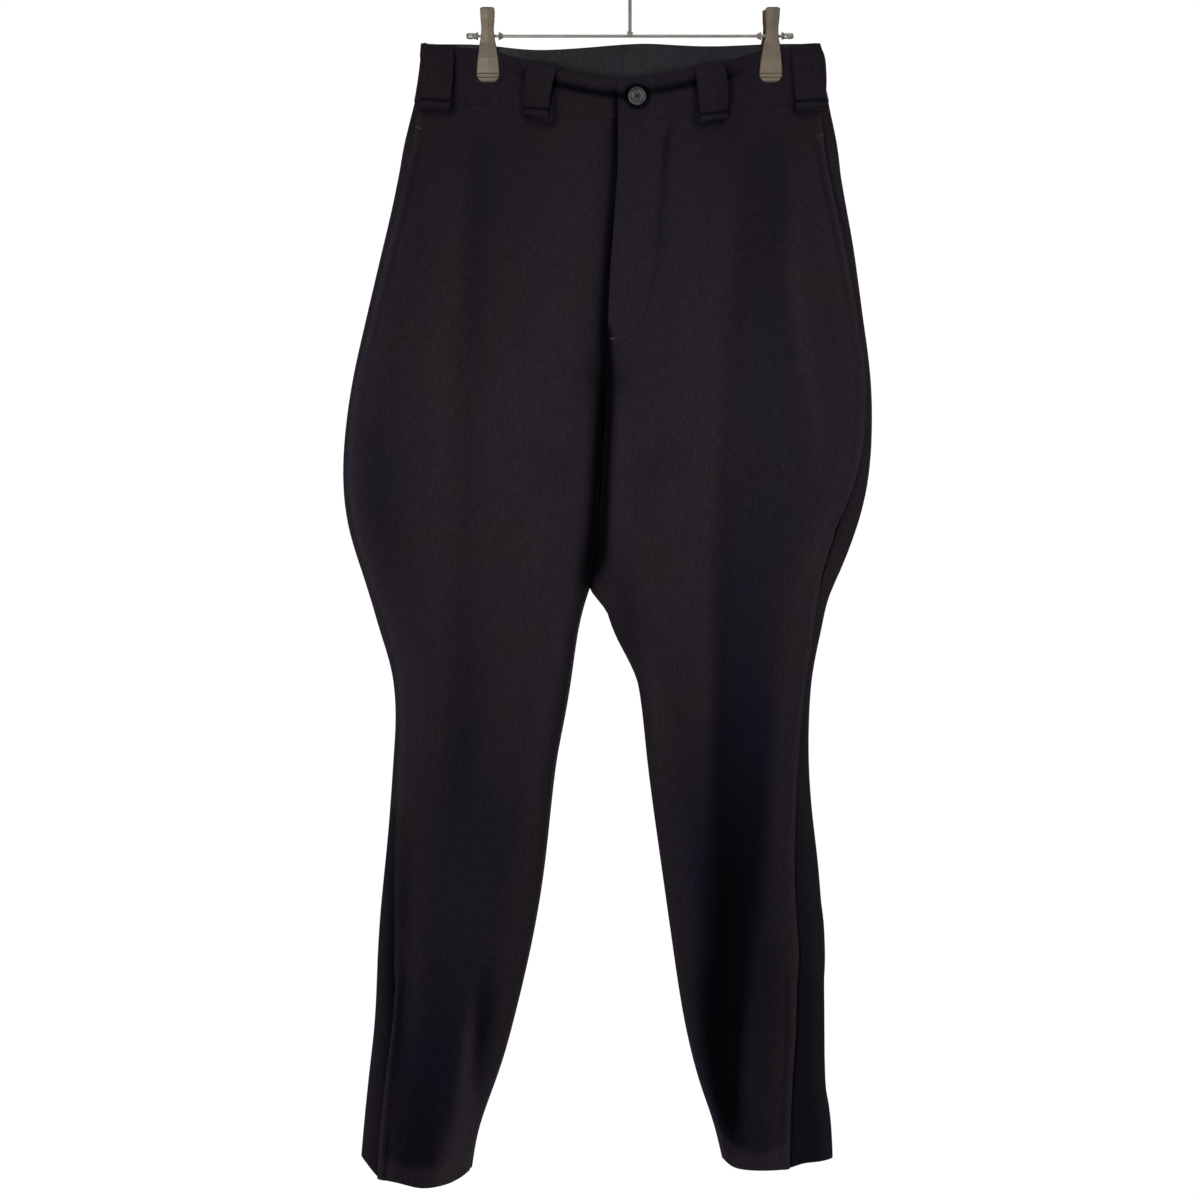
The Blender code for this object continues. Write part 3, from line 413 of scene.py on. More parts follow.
# Near-black, darker than the cloth, so that the fly's thick row also stands for the shadow along its ridge:
# partly painted shade.
THREAD = ThreadFinish("black_thread", (0.005, 0.004, 0.006), 0.9)
TACK_THREAD = ThreadFinish("tack_thread", (0.060, 0.044, 0.050), 0.8)
BUTTON_THREAD = ThreadFinish("button_thread", (0.012, 0.011, 0.013))
HORN = HornFinish("button_horn")
CLIP_METAL = MetalFinish("clip_plate", (0.196, 0.160, 0.116), 0.50, (60.0, 60.0, 2600.0), 0.45, 0.03)
SPRING_METAL = MetalFinish("spring_steel", (0.45, 0.43, 0.40), 0.30, (900.0, 900.0, 900.0), 0.60, 0.08)
WIRE_METAL = MetalFinish("hanger_wire", (0.47, 0.44, 0.40), 0.30, (40.0, 1800.0, 1800.0), 0.60, 0.08)


# ---------------------------------------------------------------- mesh helpers


def deselect() -> None:
    """Leave edit mode and deselect everything."""
    if bpy.context.object and bpy.context.object.mode != "OBJECT":
        bpy.ops.object.mode_set(mode="OBJECT")
    bpy.ops.object.select_all(action="DESELECT")


def activate(obj: bpy.types.Object) -> None:
    """Make an object the only one selected, and active.

    Args:
        obj: the object.
    """
    deselect()
    obj.select_set(True)
    bpy.context.view_layer.objects.active = obj


def coordinates(obj: bpy.types.Object) -> np.ndarray:
    """Read an object's vertices.

    Args:
        obj: the object.

    Returns:
        A row of x, y and z for each, in metres.
    """
    flat = np.empty(len(obj.data.vertices) * 3)
    obj.data.vertices.foreach_get("co", flat)
    return flat.reshape(-1, 3)


def set_coordinates(obj: bpy.types.Object, points: np.ndarray) -> None:
    """Move an object's vertices to rows of x, y and z."""
    obj.data.vertices.foreach_set("co", points.ravel())
    obj.data.update()


def drop_of(z: np.ndarray) -> np.ndarray:
    """Return the drops, in mm, of heights in metres."""
    return (-z - WAIST_LEVEL) / MM


def height_of(drop: float) -> float:
    """Return the height, in metres, of a drop in mm."""
    return -WAIST_LEVEL - drop * MM


def smooth(low: float, high: float, value: np.ndarray) -> np.ndarray:
    """Return a smooth step from 0 at low to 1 at high."""
    share = np.clip((value - low) / (high - low), 0.0, 1.0)
    return share * share * (3.0 - 2.0 * share)


def bell(value: np.ndarray, width: float | np.ndarray) -> np.ndarray:
    """Return a bell curve: 1 at 0, and about a third at the width."""
    return np.exp(-((value / width) ** 2))


def stretch(value: np.ndarray, start: float, full: float, fading: float, end: float) -> np.ndarray:
    """Return 1 from full to fading, and 0 before start and past end."""
    return smooth(start, full, value) * smooth(end, fading, value)


def soft_noise(points: np.ndarray, wavelength: float, seed: float) -> np.ndarray:
    """Return gentle noise of about -1 to 1 at points in mm."""
    shift = Vector((seed, 1.7 * seed, -0.6 * seed))
    return np.array([noise.noise(Vector(p) / wavelength + shift) for p in points]) * 1.6


def dress(obj: bpy.types.Object, material: bpy.types.Material) -> None:
    """Give a piece its only material and let it ride on the root body.

    Args:
        obj: the piece.
        material: its finish.
    """
    obj.data.materials.clear()
    obj.data.materials.append(material)
    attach(obj, ROOT)


def brush(obj: bpy.types.Object, nap_and_painted_shading: np.ndarray) -> None:
    """Store how much each of a piece's points is painted darker or paler: mostly painted shade and
    highlights.
    """
    layer = obj.data.attributes.get("nap_and_painted_shading") or obj.data.attributes.new("nap_and_painted_shading", "FLOAT", "POINT")
    layer.data.foreach_set("value", nap_and_painted_shading.astype(np.float32))


def cad_copy(node: str, name: str) -> bpy.types.Object:
    """Copy a CAD node's mesh, with its points merged and its triangles joined.

    Args:
        node: the CAD node.
        name: the copy's name.

    Returns:
        The copy.
    """
    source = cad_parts[node]
    obj = bpy.data.objects.new(name, source.data.copy())
    obj.data.name = name
    bpy.context.scene.collection.objects.link(obj)
    activate(obj)
    bpy.ops.object.mode_set(mode="EDIT")
    bpy.ops.mesh.select_all(action="SELECT")
    bpy.ops.mesh.remove_doubles(threshold=0.01 * MM)
    bpy.ops.mesh.tris_convert_to_quads(
        face_threshold=math.pi, shape_threshold=math.pi, topology_influence=2.0
    )
    bpy.ops.object.mode_set(mode="OBJECT")
    return obj


def refine(obj: bpy.types.Object, fineness: Fineness, edge_hold: float) -> None:
    """Round a copy with a subdivision surface that keeps its cut edges.

    Args:
        obj: the merged copy.
        fineness: how many levels.
        edge_hold: crease of the edges where the wall turns over, from 0 to 1.
    """
    mesh = obj.data
    mesh.attributes.new("crease_edge", "FLOAT", "EDGE")
    shape = bmesh.new()
    shape.from_mesh(mesh)
    layer = shape.edges.layers.float.get("crease_edge")
    for edge in shape.edges:
        turned = len(edge.link_faces) == 2 and edge.calc_face_angle(0.0) > WALL_TURN
        edge[layer] = edge_hold if turned else 0.0
    shape.to_mesh(mesh)
    shape.free()
    rounding = obj.modifiers.new("rounding", "SUBSURF")
    rounding.levels = fineness.value
    rounding.render_levels = fineness.value
    rounding.boundary_smooth = "ALL"
    activate(obj)
    bpy.ops.object.modifier_apply(modifier=rounding.name)
    bpy.ops.object.shade_smooth()


def even_out(obj: bpy.types.Object, share: np.ndarray, rounds: int = 160) -> None:
    """Smooth away the solid's facets.

    Args:
        obj: the refined piece.
        share: how much each point takes part, from 0 to 1.
        rounds: how many times each point moves towards its neighbours.
    """
    group = obj.vertex_groups.new(name="inside")
    for level in range(1, 11):
        members = np.flatnonzero(np.round(share * 10.0).astype(int) == level)
        group.add(members.tolist(), level / 10.0, "REPLACE")
    evening = obj.modifiers.new("evening", "SMOOTH")
    evening.factor = 0.5
    evening.iterations = rounds
    evening.vertex_group = group.name
    activate(obj)
    bpy.ops.object.modifier_apply(modifier=evening.name)
    obj.vertex_groups.clear()


# ---------------------------------------------------------------- creases


class CreasePoint(NamedTuple):
    """One point along a crease, in mm: where it is, how proud, and how wide each side."""

    x: float
    drop: float
    rise: float
    left: float
    right: float


@dataclass(frozen=True)
class Crease:
    """A soft ridge or trough along a given line."""

    points: tuple[CreasePoint, ...]
    steps: int = 8
    narrowest: float = 1.5

    def lift(self, x: np.ndarray, drop: np.ndarray) -> np.ndarray:
        """Measure the crease at some points.

        Args:
            x: the points' places across, in mm.
            drop: their drops, in mm.

        Returns:
            How far the crease moves each point outward, in mm.
        """
        line = self.sampled()
        result = np.zeros_like(x)
        nearest = np.full_like(x, np.inf)
        for first, last in zip(line[:-1], line[1:]):
            run = last[:2] - first[:2]
            length = float(np.hypot(*run))
            along = ((x - first[0]) * run[0] + (drop - first[1]) * run[1]) / length**2
            share = np.clip(along, 0.0, 1.0)
            off_x = x - (first[0] + share * run[0])
            off_drop = drop - (first[1] + share * run[1])
            distance = np.hypot(off_x, off_drop)
            side = np.sign(off_x * run[1] - off_drop * run[0])
            values = first[2:] + share[:, None] * (last - first)[2:]
            width = np.where(side < 0.0, values[:, 1], values[:, 2])
            height = values[:, 0] * bell(distance, width)
            closer = distance < nearest
            result[closer] = height[closer]
            nearest = np.minimum(nearest, distance)
        return result

    def sampled(self) -> np.ndarray:
        """Put smooth points between the crease's own.

        Returns:
            Rows of x, drop, rise and the two widths.
        """
        rows = np.array(self.points)
        padded = np.vstack([2 * rows[0] - rows[1], rows, 2 * rows[-1] - rows[-2]])
        line = []
        for a, b, c, d in zip(padded, padded[1:], padded[2:], padded[3:]):
            square, cube = 2 * a - 5 * b + 4 * c - d, 3 * b - a - 3 * c + d
            for t in np.arange(self.steps) / self.steps:
                line.append(0.5 * (2 * b + (c - a) * t + square * t * t + cube * t**3))
        line.append(rows[-1])
        result = np.array(line)
        result[:, 3:] = np.maximum(result[:, 3:], self.narrowest)
        return result


def crease(*rows: tuple[float, float, float, float, float]) -> Crease:
    """Return a crease from rows of x, drop, rise, left and right width in mm."""
    return Crease(tuple(CreasePoint(*row) for row in rows))


class FoldRow(NamedTuple):
    """One level of a leg's relief: where its five lines run and how proud each is, in mm."""

    drop: float
    first_x: float
    first: float
    ridge_x: float
    ridge: float
    fall_x: float
    fall: float
    rise_x: float
    rise: float
    last_x: float
    last: float


@dataclass(frozen=True)
class Relief:
    """The long folds down a front leg, straight between their lines and soft across them."""

    rows: tuple[FoldRow, ...]
    softness: float = 3.5
    step: float = 5.0
    reach: float = 18.0

    def lift(self, x: np.ndarray, drop: np.ndarray) -> np.ndarray:
        """Measure the folds at some points.

        Args:
            x: the points' places across, in mm.
            drop: their drops, in mm.

        Returns:
            How far the folds move each point outward, in mm.
        """
        table = np.array(self.rows)
        levels = np.arange(table[0, 0], table[-1, 0] + 1.0, self.step)
        lines = [self.softened(np.interp(levels, table[:, 0], col)) for col in table.T[1:]]
        at = [np.interp(drop, levels, line) for line in lines]
        places, rises = at[0::2], at[1::2]
        result = rises[0].copy()
        slope = np.zeros_like(x)
        for k, place in enumerate(places):
            after = np.zeros_like(x)
            if k + 1 < len(places):
                after = (rises[k + 1] - rises[k]) / (places[k + 1] - place)
            off = x - place
            result += (after - slope) * 0.5 * (off + np.sqrt(off**2 + self.softness**2))
            slope = after
        return result

    def softened(self, line: np.ndarray) -> np.ndarray:
        """Round the corners of one of the folds' lines along its length.

        Args:
            line: the line's values at even drops.

        Returns:
            The rounded values.
        """
        reach = int(3 * self.reach / self.step)
        offsets = np.arange(-reach, reach + 1) * self.step
        weights = np.exp(-0.5 * (offsets / self.reach) ** 2)
        padded = np.pad(line, reach, mode="edge")
        return np.convolve(padded, weights / weights.sum(), mode="valid")


# Both reliefs are also painted: darker in their hollows and paler on their ridges, as painted shade and
# highlights.
# Wearer's right front: flank, pressed ridge, fall beside it, inner thigh.
RIGHT_FOLDS = Relief(
    (
        FoldRow(51, -205, 0.0, -160, 0.6, -146, -1.6, -130, 0.0, -60, 0.8),
        FoldRow(108, -205, -1.2, -156, 0.2, -143, -4.0, -126, -1.4, -50, 1.6),
        FoldRow(166, -216, -1.6, -163, 2.0, -147, -5.0, -130, -1.6, -48, 2.4),
        FoldRow(222, -226, -2.0, -162, 2.4, -147, -5.0, -131, -0.6, -45, 2.6),
        FoldRow(279, -236, -0.6, -172, 3.0, -147, -4.4, -132, 0.2, -45, 3.6),
        FoldRow(336, -240, -1.8, -174, 4.0, -152, -2.2, -134, 1.6, -45, 3.0),
        FoldRow(393, -240, -2.2, -174, 2.6, -152, -2.2, -135, 1.4, -45, 2.2),
        FoldRow(450, -236, -2.4, -176, 2.0, -153, -2.0, -134, 0.8, -45, 2.2),
        FoldRow(507, -230, -2.2, -178, 1.6, -157, -2.4, -134, 0.4, -50, 2.0),
        FoldRow(564, -215, -0.6, -180, 1.0, -159, -3.8, -122, 0.2, -62, 1.8),
        FoldRow(621, -212, 0.0, -180, 1.4, -157, -4.6, -128, 0.8, -70, 1.8),
        FoldRow(678, -214, -0.6, -182, 1.4, -158, -5.0, -134, 0.8, -80, 1.6),
        FoldRow(735, -216, -3.0, -196, 1.0, -165, -1.6, -120, -1.2, -86, 1.0),
        FoldRow(792, -214, -8.0, -205, 0.8, -180, 0.4, -122, -0.8, -98, 0.8),
        FoldRow(849, -215, -5.5, -205, 0.8, -180, -1.0, -130, 0.6, -104, 0.8),
        FoldRow(906, -213, -4.5, -204, 0.4, -188, -3.6, -158, -2.4, -118, -1.0),
        FoldRow(963, -215, -5.0, -205, -4.4, -185, -5.6, -168, -4.5, -140, -1.0),
        FoldRow(1010, -216, -5.0, -204, -6.5, -184, -6.5, -173, -4.5, -160, 2.0),
        FoldRow(1052, -232, -5.5, -214, -7.0, -190, -5.5, -180, -1.0, -170, 2.5),
    )
)
# Wearer's left front: inner thigh, pressed ridge, its fall, the hollow beside it, outer side.
LEFT_FOLDS = Relief(
    (
        FoldRow(51, 60, 0.0, 95, 0.4, 112, -0.6, 140, -2.6, 168, 0.6),
        FoldRow(108, 52, 0.6, 96, 0.6, 116, -2.0, 142, -4.4, 158, 0.6),
        FoldRow(166, 46, 0.8, 98, 1.5, 114, -3.0, 143, -4.8, 160, 1.6),
        FoldRow(222, 42, 1.0, 92, 2.4, 108, -3.0, 146, -4.2, 162, 2.0),
        FoldRow(279, 38, 1.0, 85, 3.6, 98, -1.8, 152, -2.6, 170, 2.6),
        FoldRow(336, 34, 1.2, 84, 4.2, 97, -1.2, 156, -0.6, 178, 2.8),
        FoldRow(393, 30, 1.2, 80, 3.8, 96, -2.6, 150, -1.8, 185, 1.2),
        FoldRow(450, 30, 1.0, 77, 3.6, 93, -3.4, 136, -2.8, 185, 1.2),
        FoldRow(507, 32, 0.6, 72, 3.6, 92, -6.0, 130, -3.8, 166, 0.2),
        FoldRow(564, 36, 0.4, 76, 2.8, 91, -7.0, 126, -5.4, 156, 0.0),
        FoldRow(621, 44, 0.2, 77, 2.8, 90, -7.8, 126, -5.8, 150, 1.0),
        FoldRow(678, 50, 0.0, 74, 1.6, 87, -8.4, 126, -6.2, 142, 0.2),
        FoldRow(735, 54, 0.0, 72, 0.4, 86, -8.8, 122, -8.2, 137, 0.4),
        FoldRow(792, 56, -0.6, 66, -1.4, 90, -11.5, 118, -9.4, 130, -0.6),
        FoldRow(849, 60, -1.4, 70, -4.0, 92, -14.0, 112, -9.6, 122, -1.2),
        FoldRow(906, 60, -3.0, 72, -8.0, 92, -13.5, 105, -12.4, 113, -1.2),
        FoldRow(963, 68, -6.0, 78, -9.5, 92, -13.0, 100, -12.4, 106, 0.6),
        FoldRow(1010, 80, -2.0, 86, -4.0, 92, -8.0, 97, -7.0, 102, 2.0),
        FoldRow(1052, 84, 0.0, 88, -0.5, 93, -1.5, 97, -1.0, 101, 1.5),
    )
)

# The creases of the two tables below, the fly's two and the loops' outlines also paint the cloth: darker in
# their troughs and paler on their ridges, as painted shade and highlights.
# x, drop, rise, width to the left, width to the right (as seen from the front).
FRONT_CREASES: tuple[Crease, ...] = (
    # Wearer's right leg: the hollow outside the knee and the folds above the hem.
    crease(
        (-262, 330, 0.0, 10, 16),
        (-252, 400, -0.8, 12, 20),
        (-240, 480, -0.8, 12, 20),
        (-232, 560, 0.0, 12, 16),
    ),
    crease(
        (-146, 876, 0.0, 5, 5),
        (-150, 912, 1.4, 5, 5),
        (-155, 963, 4.4, 6, 7),
        (-157, 1010, 4.4, 8, 8),
        (-166, 1048, 3.0, 12, 10),
        (-172, 1072, 1.5, 12, 10),
    ),
    crease(
        (-134, 860, 0.0, 9, 14),
        (-138, 912, -2.4, 6, 12),
        (-142, 963, -2.4, 6, 10),
        (-146, 1010, 0.0, 6, 8),
    ),
    # Wearer's left leg: the rise beside the outer thigh's hollow.
    crease(
        (152, 150, 0.0, 8, 14),
        (151, 212, 1.6, 8, 16),
        (165, 283, 2.0, 8, 16),
        (180, 362, 1.6, 8, 14),
        (184, 420, 0.0, 8, 12),
    ),
    # The bunch of cloth where the left thigh touches the right one, and drag lines.
    crease(
        (-18, 470, 0.0, 10, 14),
        (-8, 530, -1.8, 10, 16),
        (2, 575, -1.2, 10, 12),
        (6, 600, 0.0, 10, 10),
    ),
    crease(
        (-42, 420, 0.0, 16, 16),
        (-70, 400, -0.9, 18, 18),
        (-106, 372, 0.0, 18, 18),
    ),
    crease(
        (-14, 430, 0.0, 14, 14),
        (20, 402, -0.9, 16, 16),
        (60, 370, 0.0, 16, 16),
    ),
    # The faint line across the left knee.
    crease(
        (18, 676, 0.0, 6, 6),
        (30, 679, -0.7, 6, 7),
        (42, 676, 0.0, 6, 6),
    ),
    # The fly facing shows through as a faint line.
    crease(
        (41, 70, -0.6, 3, 4),
        (35, 88, -2.2, 3, 5),
        (33, 108, -2.2, 3, 5),
        (31, 140, -1.7, 4, 6),
        (27, 190, -1.1, 5, 7),
        (22, 225, -0.5, 5, 8),
        (14, 262, 0.0, 6, 8),
    ),
)
# The right front sinks towards the fly, so that the left one's edge stands over it.
UNDER_FLY = crease(
    (-14, 62, 0.0, 12, 30),
    (-13, 90, -1.6, 12, 30),
    (-13, 150, -2.6, 16, 30),
    (-14, 220, -3.4, 22, 30),
    (-17, 262, -3.4, 24, 30),
    (-22, 320, -2.0, 20, 30),
    (-26, 380, 0.0, 16, 30),
)
# Close to the fly's edge, a trough painted dark as the shadow that the left front casts on the right one.
FLY_SHADOW = crease(
    (-14, 44, -3.5, 3, 4),
    (-13.5, 56, -4.8, 3, 4),
    (-13.5, 86, -4.4, 3, 4),
    (-15, 120, -3.0, 3, 6),
    (-17, 145, -3.0, 3, 6),
    (-19, 187, -3.4, 4, 6),
    (-22, 223, -3.6, 4, 6),
    (-24, 262, -3.6, 5, 7),
    (-25, 290, -2.0, 5, 7),
)


def loop_shadow(left: float, right: float, top: float, low_left: float, low_right: float) -> Crease:
    """Draw the pressed outline of a belt loop, sunk and painted dark as its shadow: down one side, under it
    and up the other.

    Args:
        left: x of its left side, in mm.
        right: x of its right side.
        top: drop of its top.
        low_left: drop of its lower left corner.
        low_right: drop of its lower right corner.

    Returns:
        The outline's crease.
    """
    return crease(
        (left, top, -1.0, 3.2, 3.2),
        (left, 0.5 * (top + low_left), -2.2, 3.2, 3.2),
        (left - 0.5, low_left - 6, -2.6, 3.2, 3.2),
        (left + 2, low_left + 1.5, -3.2, 3.2, 3.2),
        (0.5 * (left + right), 0.5 * (low_left + low_right) + 1.5, -3.4, 3.2, 3.2),
        (right - 2, low_right + 1.5, -3.2, 3.2, 3.2),
        (right + 0.5, low_right - 6, -3.0, 3.4, 3.4),
        (right, 0.5 * (top + low_right), -3.0, 3.6, 3.6),
        (right, top, -1.4, 3.4, 3.4),
    )


# Round each front loop, in mm: left, right, top, lower left, lower right.
LOOP_SHADOWS: tuple[Crease, ...] = (
    loop_shadow(-200.0, -168.0, 6.0, 58.5, 60.0),
    loop_shadow(-98.0, -72.0, 22.0, 68.0, 72.5),
    loop_shadow(63.0, 90.0, 26.0, 74.5, 69.5),
    loop_shadow(157.0, 186.0, 10.0, 61.0, 60.0),
)
# The waistband's front, where its top strip bends forward: a trough under the strip, sunk and painted dark
# as its shade.
BAND_CREASE = crease(
    (-118, 20, 0.0, 3, 4),
    (-98, 29, -1.2, 3, 4),
    (-66, 37.5, -2.3, 3, 4),
    (-12, 47.5, -2.4, 3, 4),
    (14, 44.5, -2.2, 3, 4),
    (57, 36.5, -2.3, 3, 4),
    (92, 29, -1.4, 3, 4),
    (116, 19, 0.0, 3, 4),
)
# A shift towards the back that fronts and backs share, so that their inner seams stay closed.
BETWEEN_LEGS = crease(
    (-23, 320, 0.0, 5, 6),
    (-26, 377, 4.0, 6, 7),
    (-29, 430, 4.0, 7, 8),
    (-34, 480, 3.0, 8, 8),
    (-37, 520, 0.0, 7, 7),
)
# Painted shade: the dark wedge where the legs' inner edges turn away from the light.
INNER_SHADOW = crease(
    (-21, 262, 0.0, 2, 2),
    (-21, 279, -8.0, 4, 4),
    (-23, 336, -14.0, 6, 6),
    (-26, 393, -14.0, 8, 7),
    (-29, 450, -14.0, 9, 8),
    (-33, 490, -14.0, 11, 10),
    (-35, 507, -10.0, 12, 11),
    (-36, 523, 0.0, 12, 11),
)
# Painted shade: the dark strip that runs down to the right slit, on the front's edge and the back's.
SIDE_SHADOW = crease(
    (-221, 712, 0.0, 12, 8),
    (-222, 745, -3.4, 14, 8),
    (-223, 845, -4.4, 14, 8),
    (-222, 905, -3.2, 14, 8),
    (-221, 965, -1.6, 14, 8),
    (-219, 1030, 0.0, 12, 8),
)
# Painted shade on the left ankle's inner side, which turns away under the long valley.
ANKLE_SHADOW = crease(
    (72, 850, 0.0, 14, 14),
    (80, 905, -1.8, 16, 14),
    (89, 965, -3.4, 18, 14),
    (97, 1015, -3.6, 18, 12),
    (101, 1048, -2.2, 16, 10),
    (103, 1064, 0.0, 14, 10),
)
# A painted highlight on the fold above the right hem's inner corner, which catches the light.
HEM_LIGHT = crease(
    (-151, 905, 0.0, 5, 6),
    (-154, 963, 3.0, 6, 8),
    (-157, 1010, 3.4, 8, 12),
    (-163, 1048, 3.0, 11, 14),
    (-170, 1072, 2.0, 12, 14),
)
# The backs: a soft fall down each, drag lines from the seat, and folds behind the knees.
BACK_CREASES: tuple[Crease, ...] = (
    crease(
        (-150, 80, 0.0, 24, 10),
        (-156, 240, 2.0, 28, 11),
        (-158, 420, 2.4, 28, 11),
        (-156, 600, 1.8, 24, 10),
        (-150, 720, 0.0, 20, 10),
    ),
    crease(
        (140, 80, 0.0, 10, 24),
        (128, 240, 2.0, 11, 28),
        (112, 420, 2.4, 11, 28),
        (104, 600, 1.8, 10, 24),
        (102, 720, 0.0, 10, 20),
    ),
    crease(
        (-60, 330, 0.0, 16, 16),
        (-86, 410, -2.6, 18, 18),
        (-118, 500, -2.0, 18, 18),
        (-140, 580, 0.0, 16, 16),
    ),
    crease(
        (30, 330, 0.0, 16, 16),
        (56, 410, -2.6, 18, 18),
        (82, 500, -2.0, 18, 18),
        (98, 580, 0.0, 16, 16),
    ),
    crease(
        (-40, 300, 0.0, 12, 12),
        (-64, 350, 1.8, 14, 14),
        (-92, 420, 1.4, 14, 14),
        (-112, 470, 0.0, 12, 12),
    ),
    crease(
        (12, 300, 0.0, 12, 12),
        (34, 350, 1.8, 14, 14),
        (62, 420, 1.4, 14, 14),
        (84, 470, 0.0, 12, 12),
    ),
    crease(
        (-200, 610, 0.0, 14, 10),
        (-176, 640, -1.8, 14, 10),
        (-142, 655, -1.2, 12, 10),
        (-112, 650, 0.0, 12, 10),
    ),
    crease(
        (146, 600, 0.0, 12, 12),
        (112, 628, -1.8, 12, 12),
        (70, 640, -1.2, 12, 12),
        (40, 634, 0.0, 12, 12),
    ),
    crease(
        (-156, 700, 0.0, 12, 18),
        (-168, 820, -3.0, 12, 20),
        (-182, 940, -3.4, 12, 20),
        (-196, 1060, -1.0, 12, 18),
    ),
    crease(
        (104, 700, 0.0, 16, 12),
        (112, 820, -3.2, 18, 12),
        (122, 940, -3.6, 18, 12),
        (130, 1050, -1.0, 16, 12),
    ),
)


@dataclass(frozen=True)
class Places:
    """Where a leg panel's points are, in mm: across, down, and inside its two seams."""

    x: np.ndarray
    drop: np.ndarray
    inside: np.ndarray
    inner: np.ndarray


@dataclass(frozen=True)
class Edges:
    """A leg panel's side and inner seams, as x in mm at even drops."""

    side: float
    drops: np.ndarray
    outermost: np.ndarray
    innermost: np.ndarray
    border: tuple[float, float] = (6.0, 22.0)
    middle_drops: tuple[float, float, float, float] = (76.0, 100.0, 1030.0, 1060.0)

    @classmethod
    def of_panel(
        cls, obj: bpy.types.Object, top: float = 60.0, foot: float = 1090.0, step: float = 10.0
    ) -> "Edges":
        """Measure a panel's edges.

        Args:
            obj: the refined panel.
            top: the first drop measured, in mm.
            foot: the drop where measuring stops.
            step: how far apart the levels are.

        Returns:
            The edges.
        """
        points = coordinates(obj)
        side = -1.0 if obj.name.endswith("_r") else 1.0
        drops = drop_of(points[:, 2])
        levels, outermost, innermost = [], [], []
        for level in np.arange(top, foot, step):
            row = points[np.abs(drops - level) < 0.7 * step, 0] * side / MM
            if row.size:
                levels.append(level)
                outermost.append(row.max())
                innermost.append(row.min())
        return cls(side, np.array(levels), np.array(outermost), np.array(innermost))

    def places(self, points: np.ndarray) -> Places:
        """Measure some points.

        Args:
            points: the points, in metres.

        Returns:
            Where they are, in mm.
        """
        x, drop = points[:, 0] / MM, drop_of(points[:, 2])
        inside = np.interp(drop, self.drops, self.outermost) - self.side * x
        inner = self.side * x - np.interp(drop, self.drops, self.innermost)
        return Places(x, drop, inside, inner)

    def middle(self, points: np.ndarray) -> np.ndarray:
        """Weigh how far from its edges a panel's points are.

        Args:
            points: the points, in metres.

        Returns:
            0 at the edges to 1 in the panel's middle.
        """
        at = self.places(points)
        share = smooth(*self.border, at.inside) * smooth(*self.border, at.inner)
        return share * stretch(at.drop, *self.middle_drops)


@dataclass(frozen=True)
class Seams:
    """How a leg's edges lap, stand proud and close up, in mm; ranges are of drop."""

    laps: tuple[tuple[float, float], ...] = ((80.0, 292.0), (868.0, 1090.0))
    lap_ends: tuple[float, float] = (22.0, 14.0)
    lap_lift: float = 1.2
    roll_from_edge: float = 1.5
    roll_width: float = 2.2
    groove_from_edge: float = 7.5
    groove_width: float = 2.6
    side_push: float = 2.2
    side_lift: float = 0.3
    side_width: float = 2.0
    inner_width: float = 2.5
    crotch_push: float = 1.3
    crotch: tuple[float, float, float, float] = (285.0, 298.0, 340.0, 365.0)
    centre_push: float = 0.18
    centre_end: tuple[float, float] = (288.0, 296.0)
    lobe_push: float = 10.0
    lobe_width: float = 12.0
    lobe: tuple[float, float, float, float] = (478.0, 510.0, 512.0, 540.0)
    top_end: float = 90.0
    top_rise: float = 0.35
    top_column: float = 5.0
    top_reach: tuple[float, float] = (9.0, 1.0)

    def lapped(self, drop: np.ndarray) -> np.ndarray:
        """Return 1 where the front's edge laps over the back at a pocket or slit, else 0."""
        start, end = self.lap_ends
        return sum(stretch(drop, first, first + start, last - end, last) for first, last in self.laps)

    def sewn(self, at: Places) -> np.ndarray:
        """Return 1 at the side seam where it is sewn shut, falling to 0 within a few mm."""
        return bell(at.inside, self.side_width) * (1.0 - self.lapped(at.drop))

    def front_lift(self, at: Places) -> np.ndarray:
        """Raise a front's edge at its pocket and slit, with a groove beside it, and at its seam.

        Args:
            at: where the front's points are.

        Returns:
            How far each point moves outward, in mm.
        """
        roll = bell(at.inside - self.roll_from_edge, self.roll_width)
        groove = bell(at.inside - self.groove_from_edge, self.groove_width)
        return self.lap_lift * self.lapped(at.drop) * (roll - groove) + self.side_lift * self.sewn(at)

    def shift(self, at: Places, face: Face, side: float) -> np.ndarray:
        """Close the gaps that would show at the seams, and let the thighs' edges meet lower.

        Args:
            at: where the panel's points are.
            face: whether it is a front or a back.
            side: -1 for the wearer's right leg, 1 for the left one.

        Returns:
            How far each point moves along x, in mm.
        """
        inner = bell(at.inner, self.inner_width)
        moved = -side * self.crotch_push * inner * stretch(at.drop, *self.crotch)
        if side > 0.0:
            moved -= self.lobe_push * bell(at.inner, self.lobe_width) * stretch(at.drop, *self.lobe)
        if face is Face.FRONT:
            return moved + side * self.side_push * self.sewn(at)
        return moved - side * self.centre_push * inner * (1.0 - smooth(*self.centre_end, at.drop))

    def close_top(self, points: np.ndarray) -> None:
        """Raise a front's top edge until it meets the waistband.

        Args:
            points: the front's points, in metres, which are changed.
        """
        columns = np.round(points[:, 0] / (self.top_column * MM)).astype(int)
        highest = {c: points[columns == c, 2].max() for c in np.unique(columns)}
        below = (np.array([highest[c] for c in columns]) - points[:, 2]) / MM
        near = drop_of(points[:, 2]) < self.top_end
        points[:, 2] += np.where(near, self.top_rise * smooth(*self.top_reach, below), 0.0) * MM


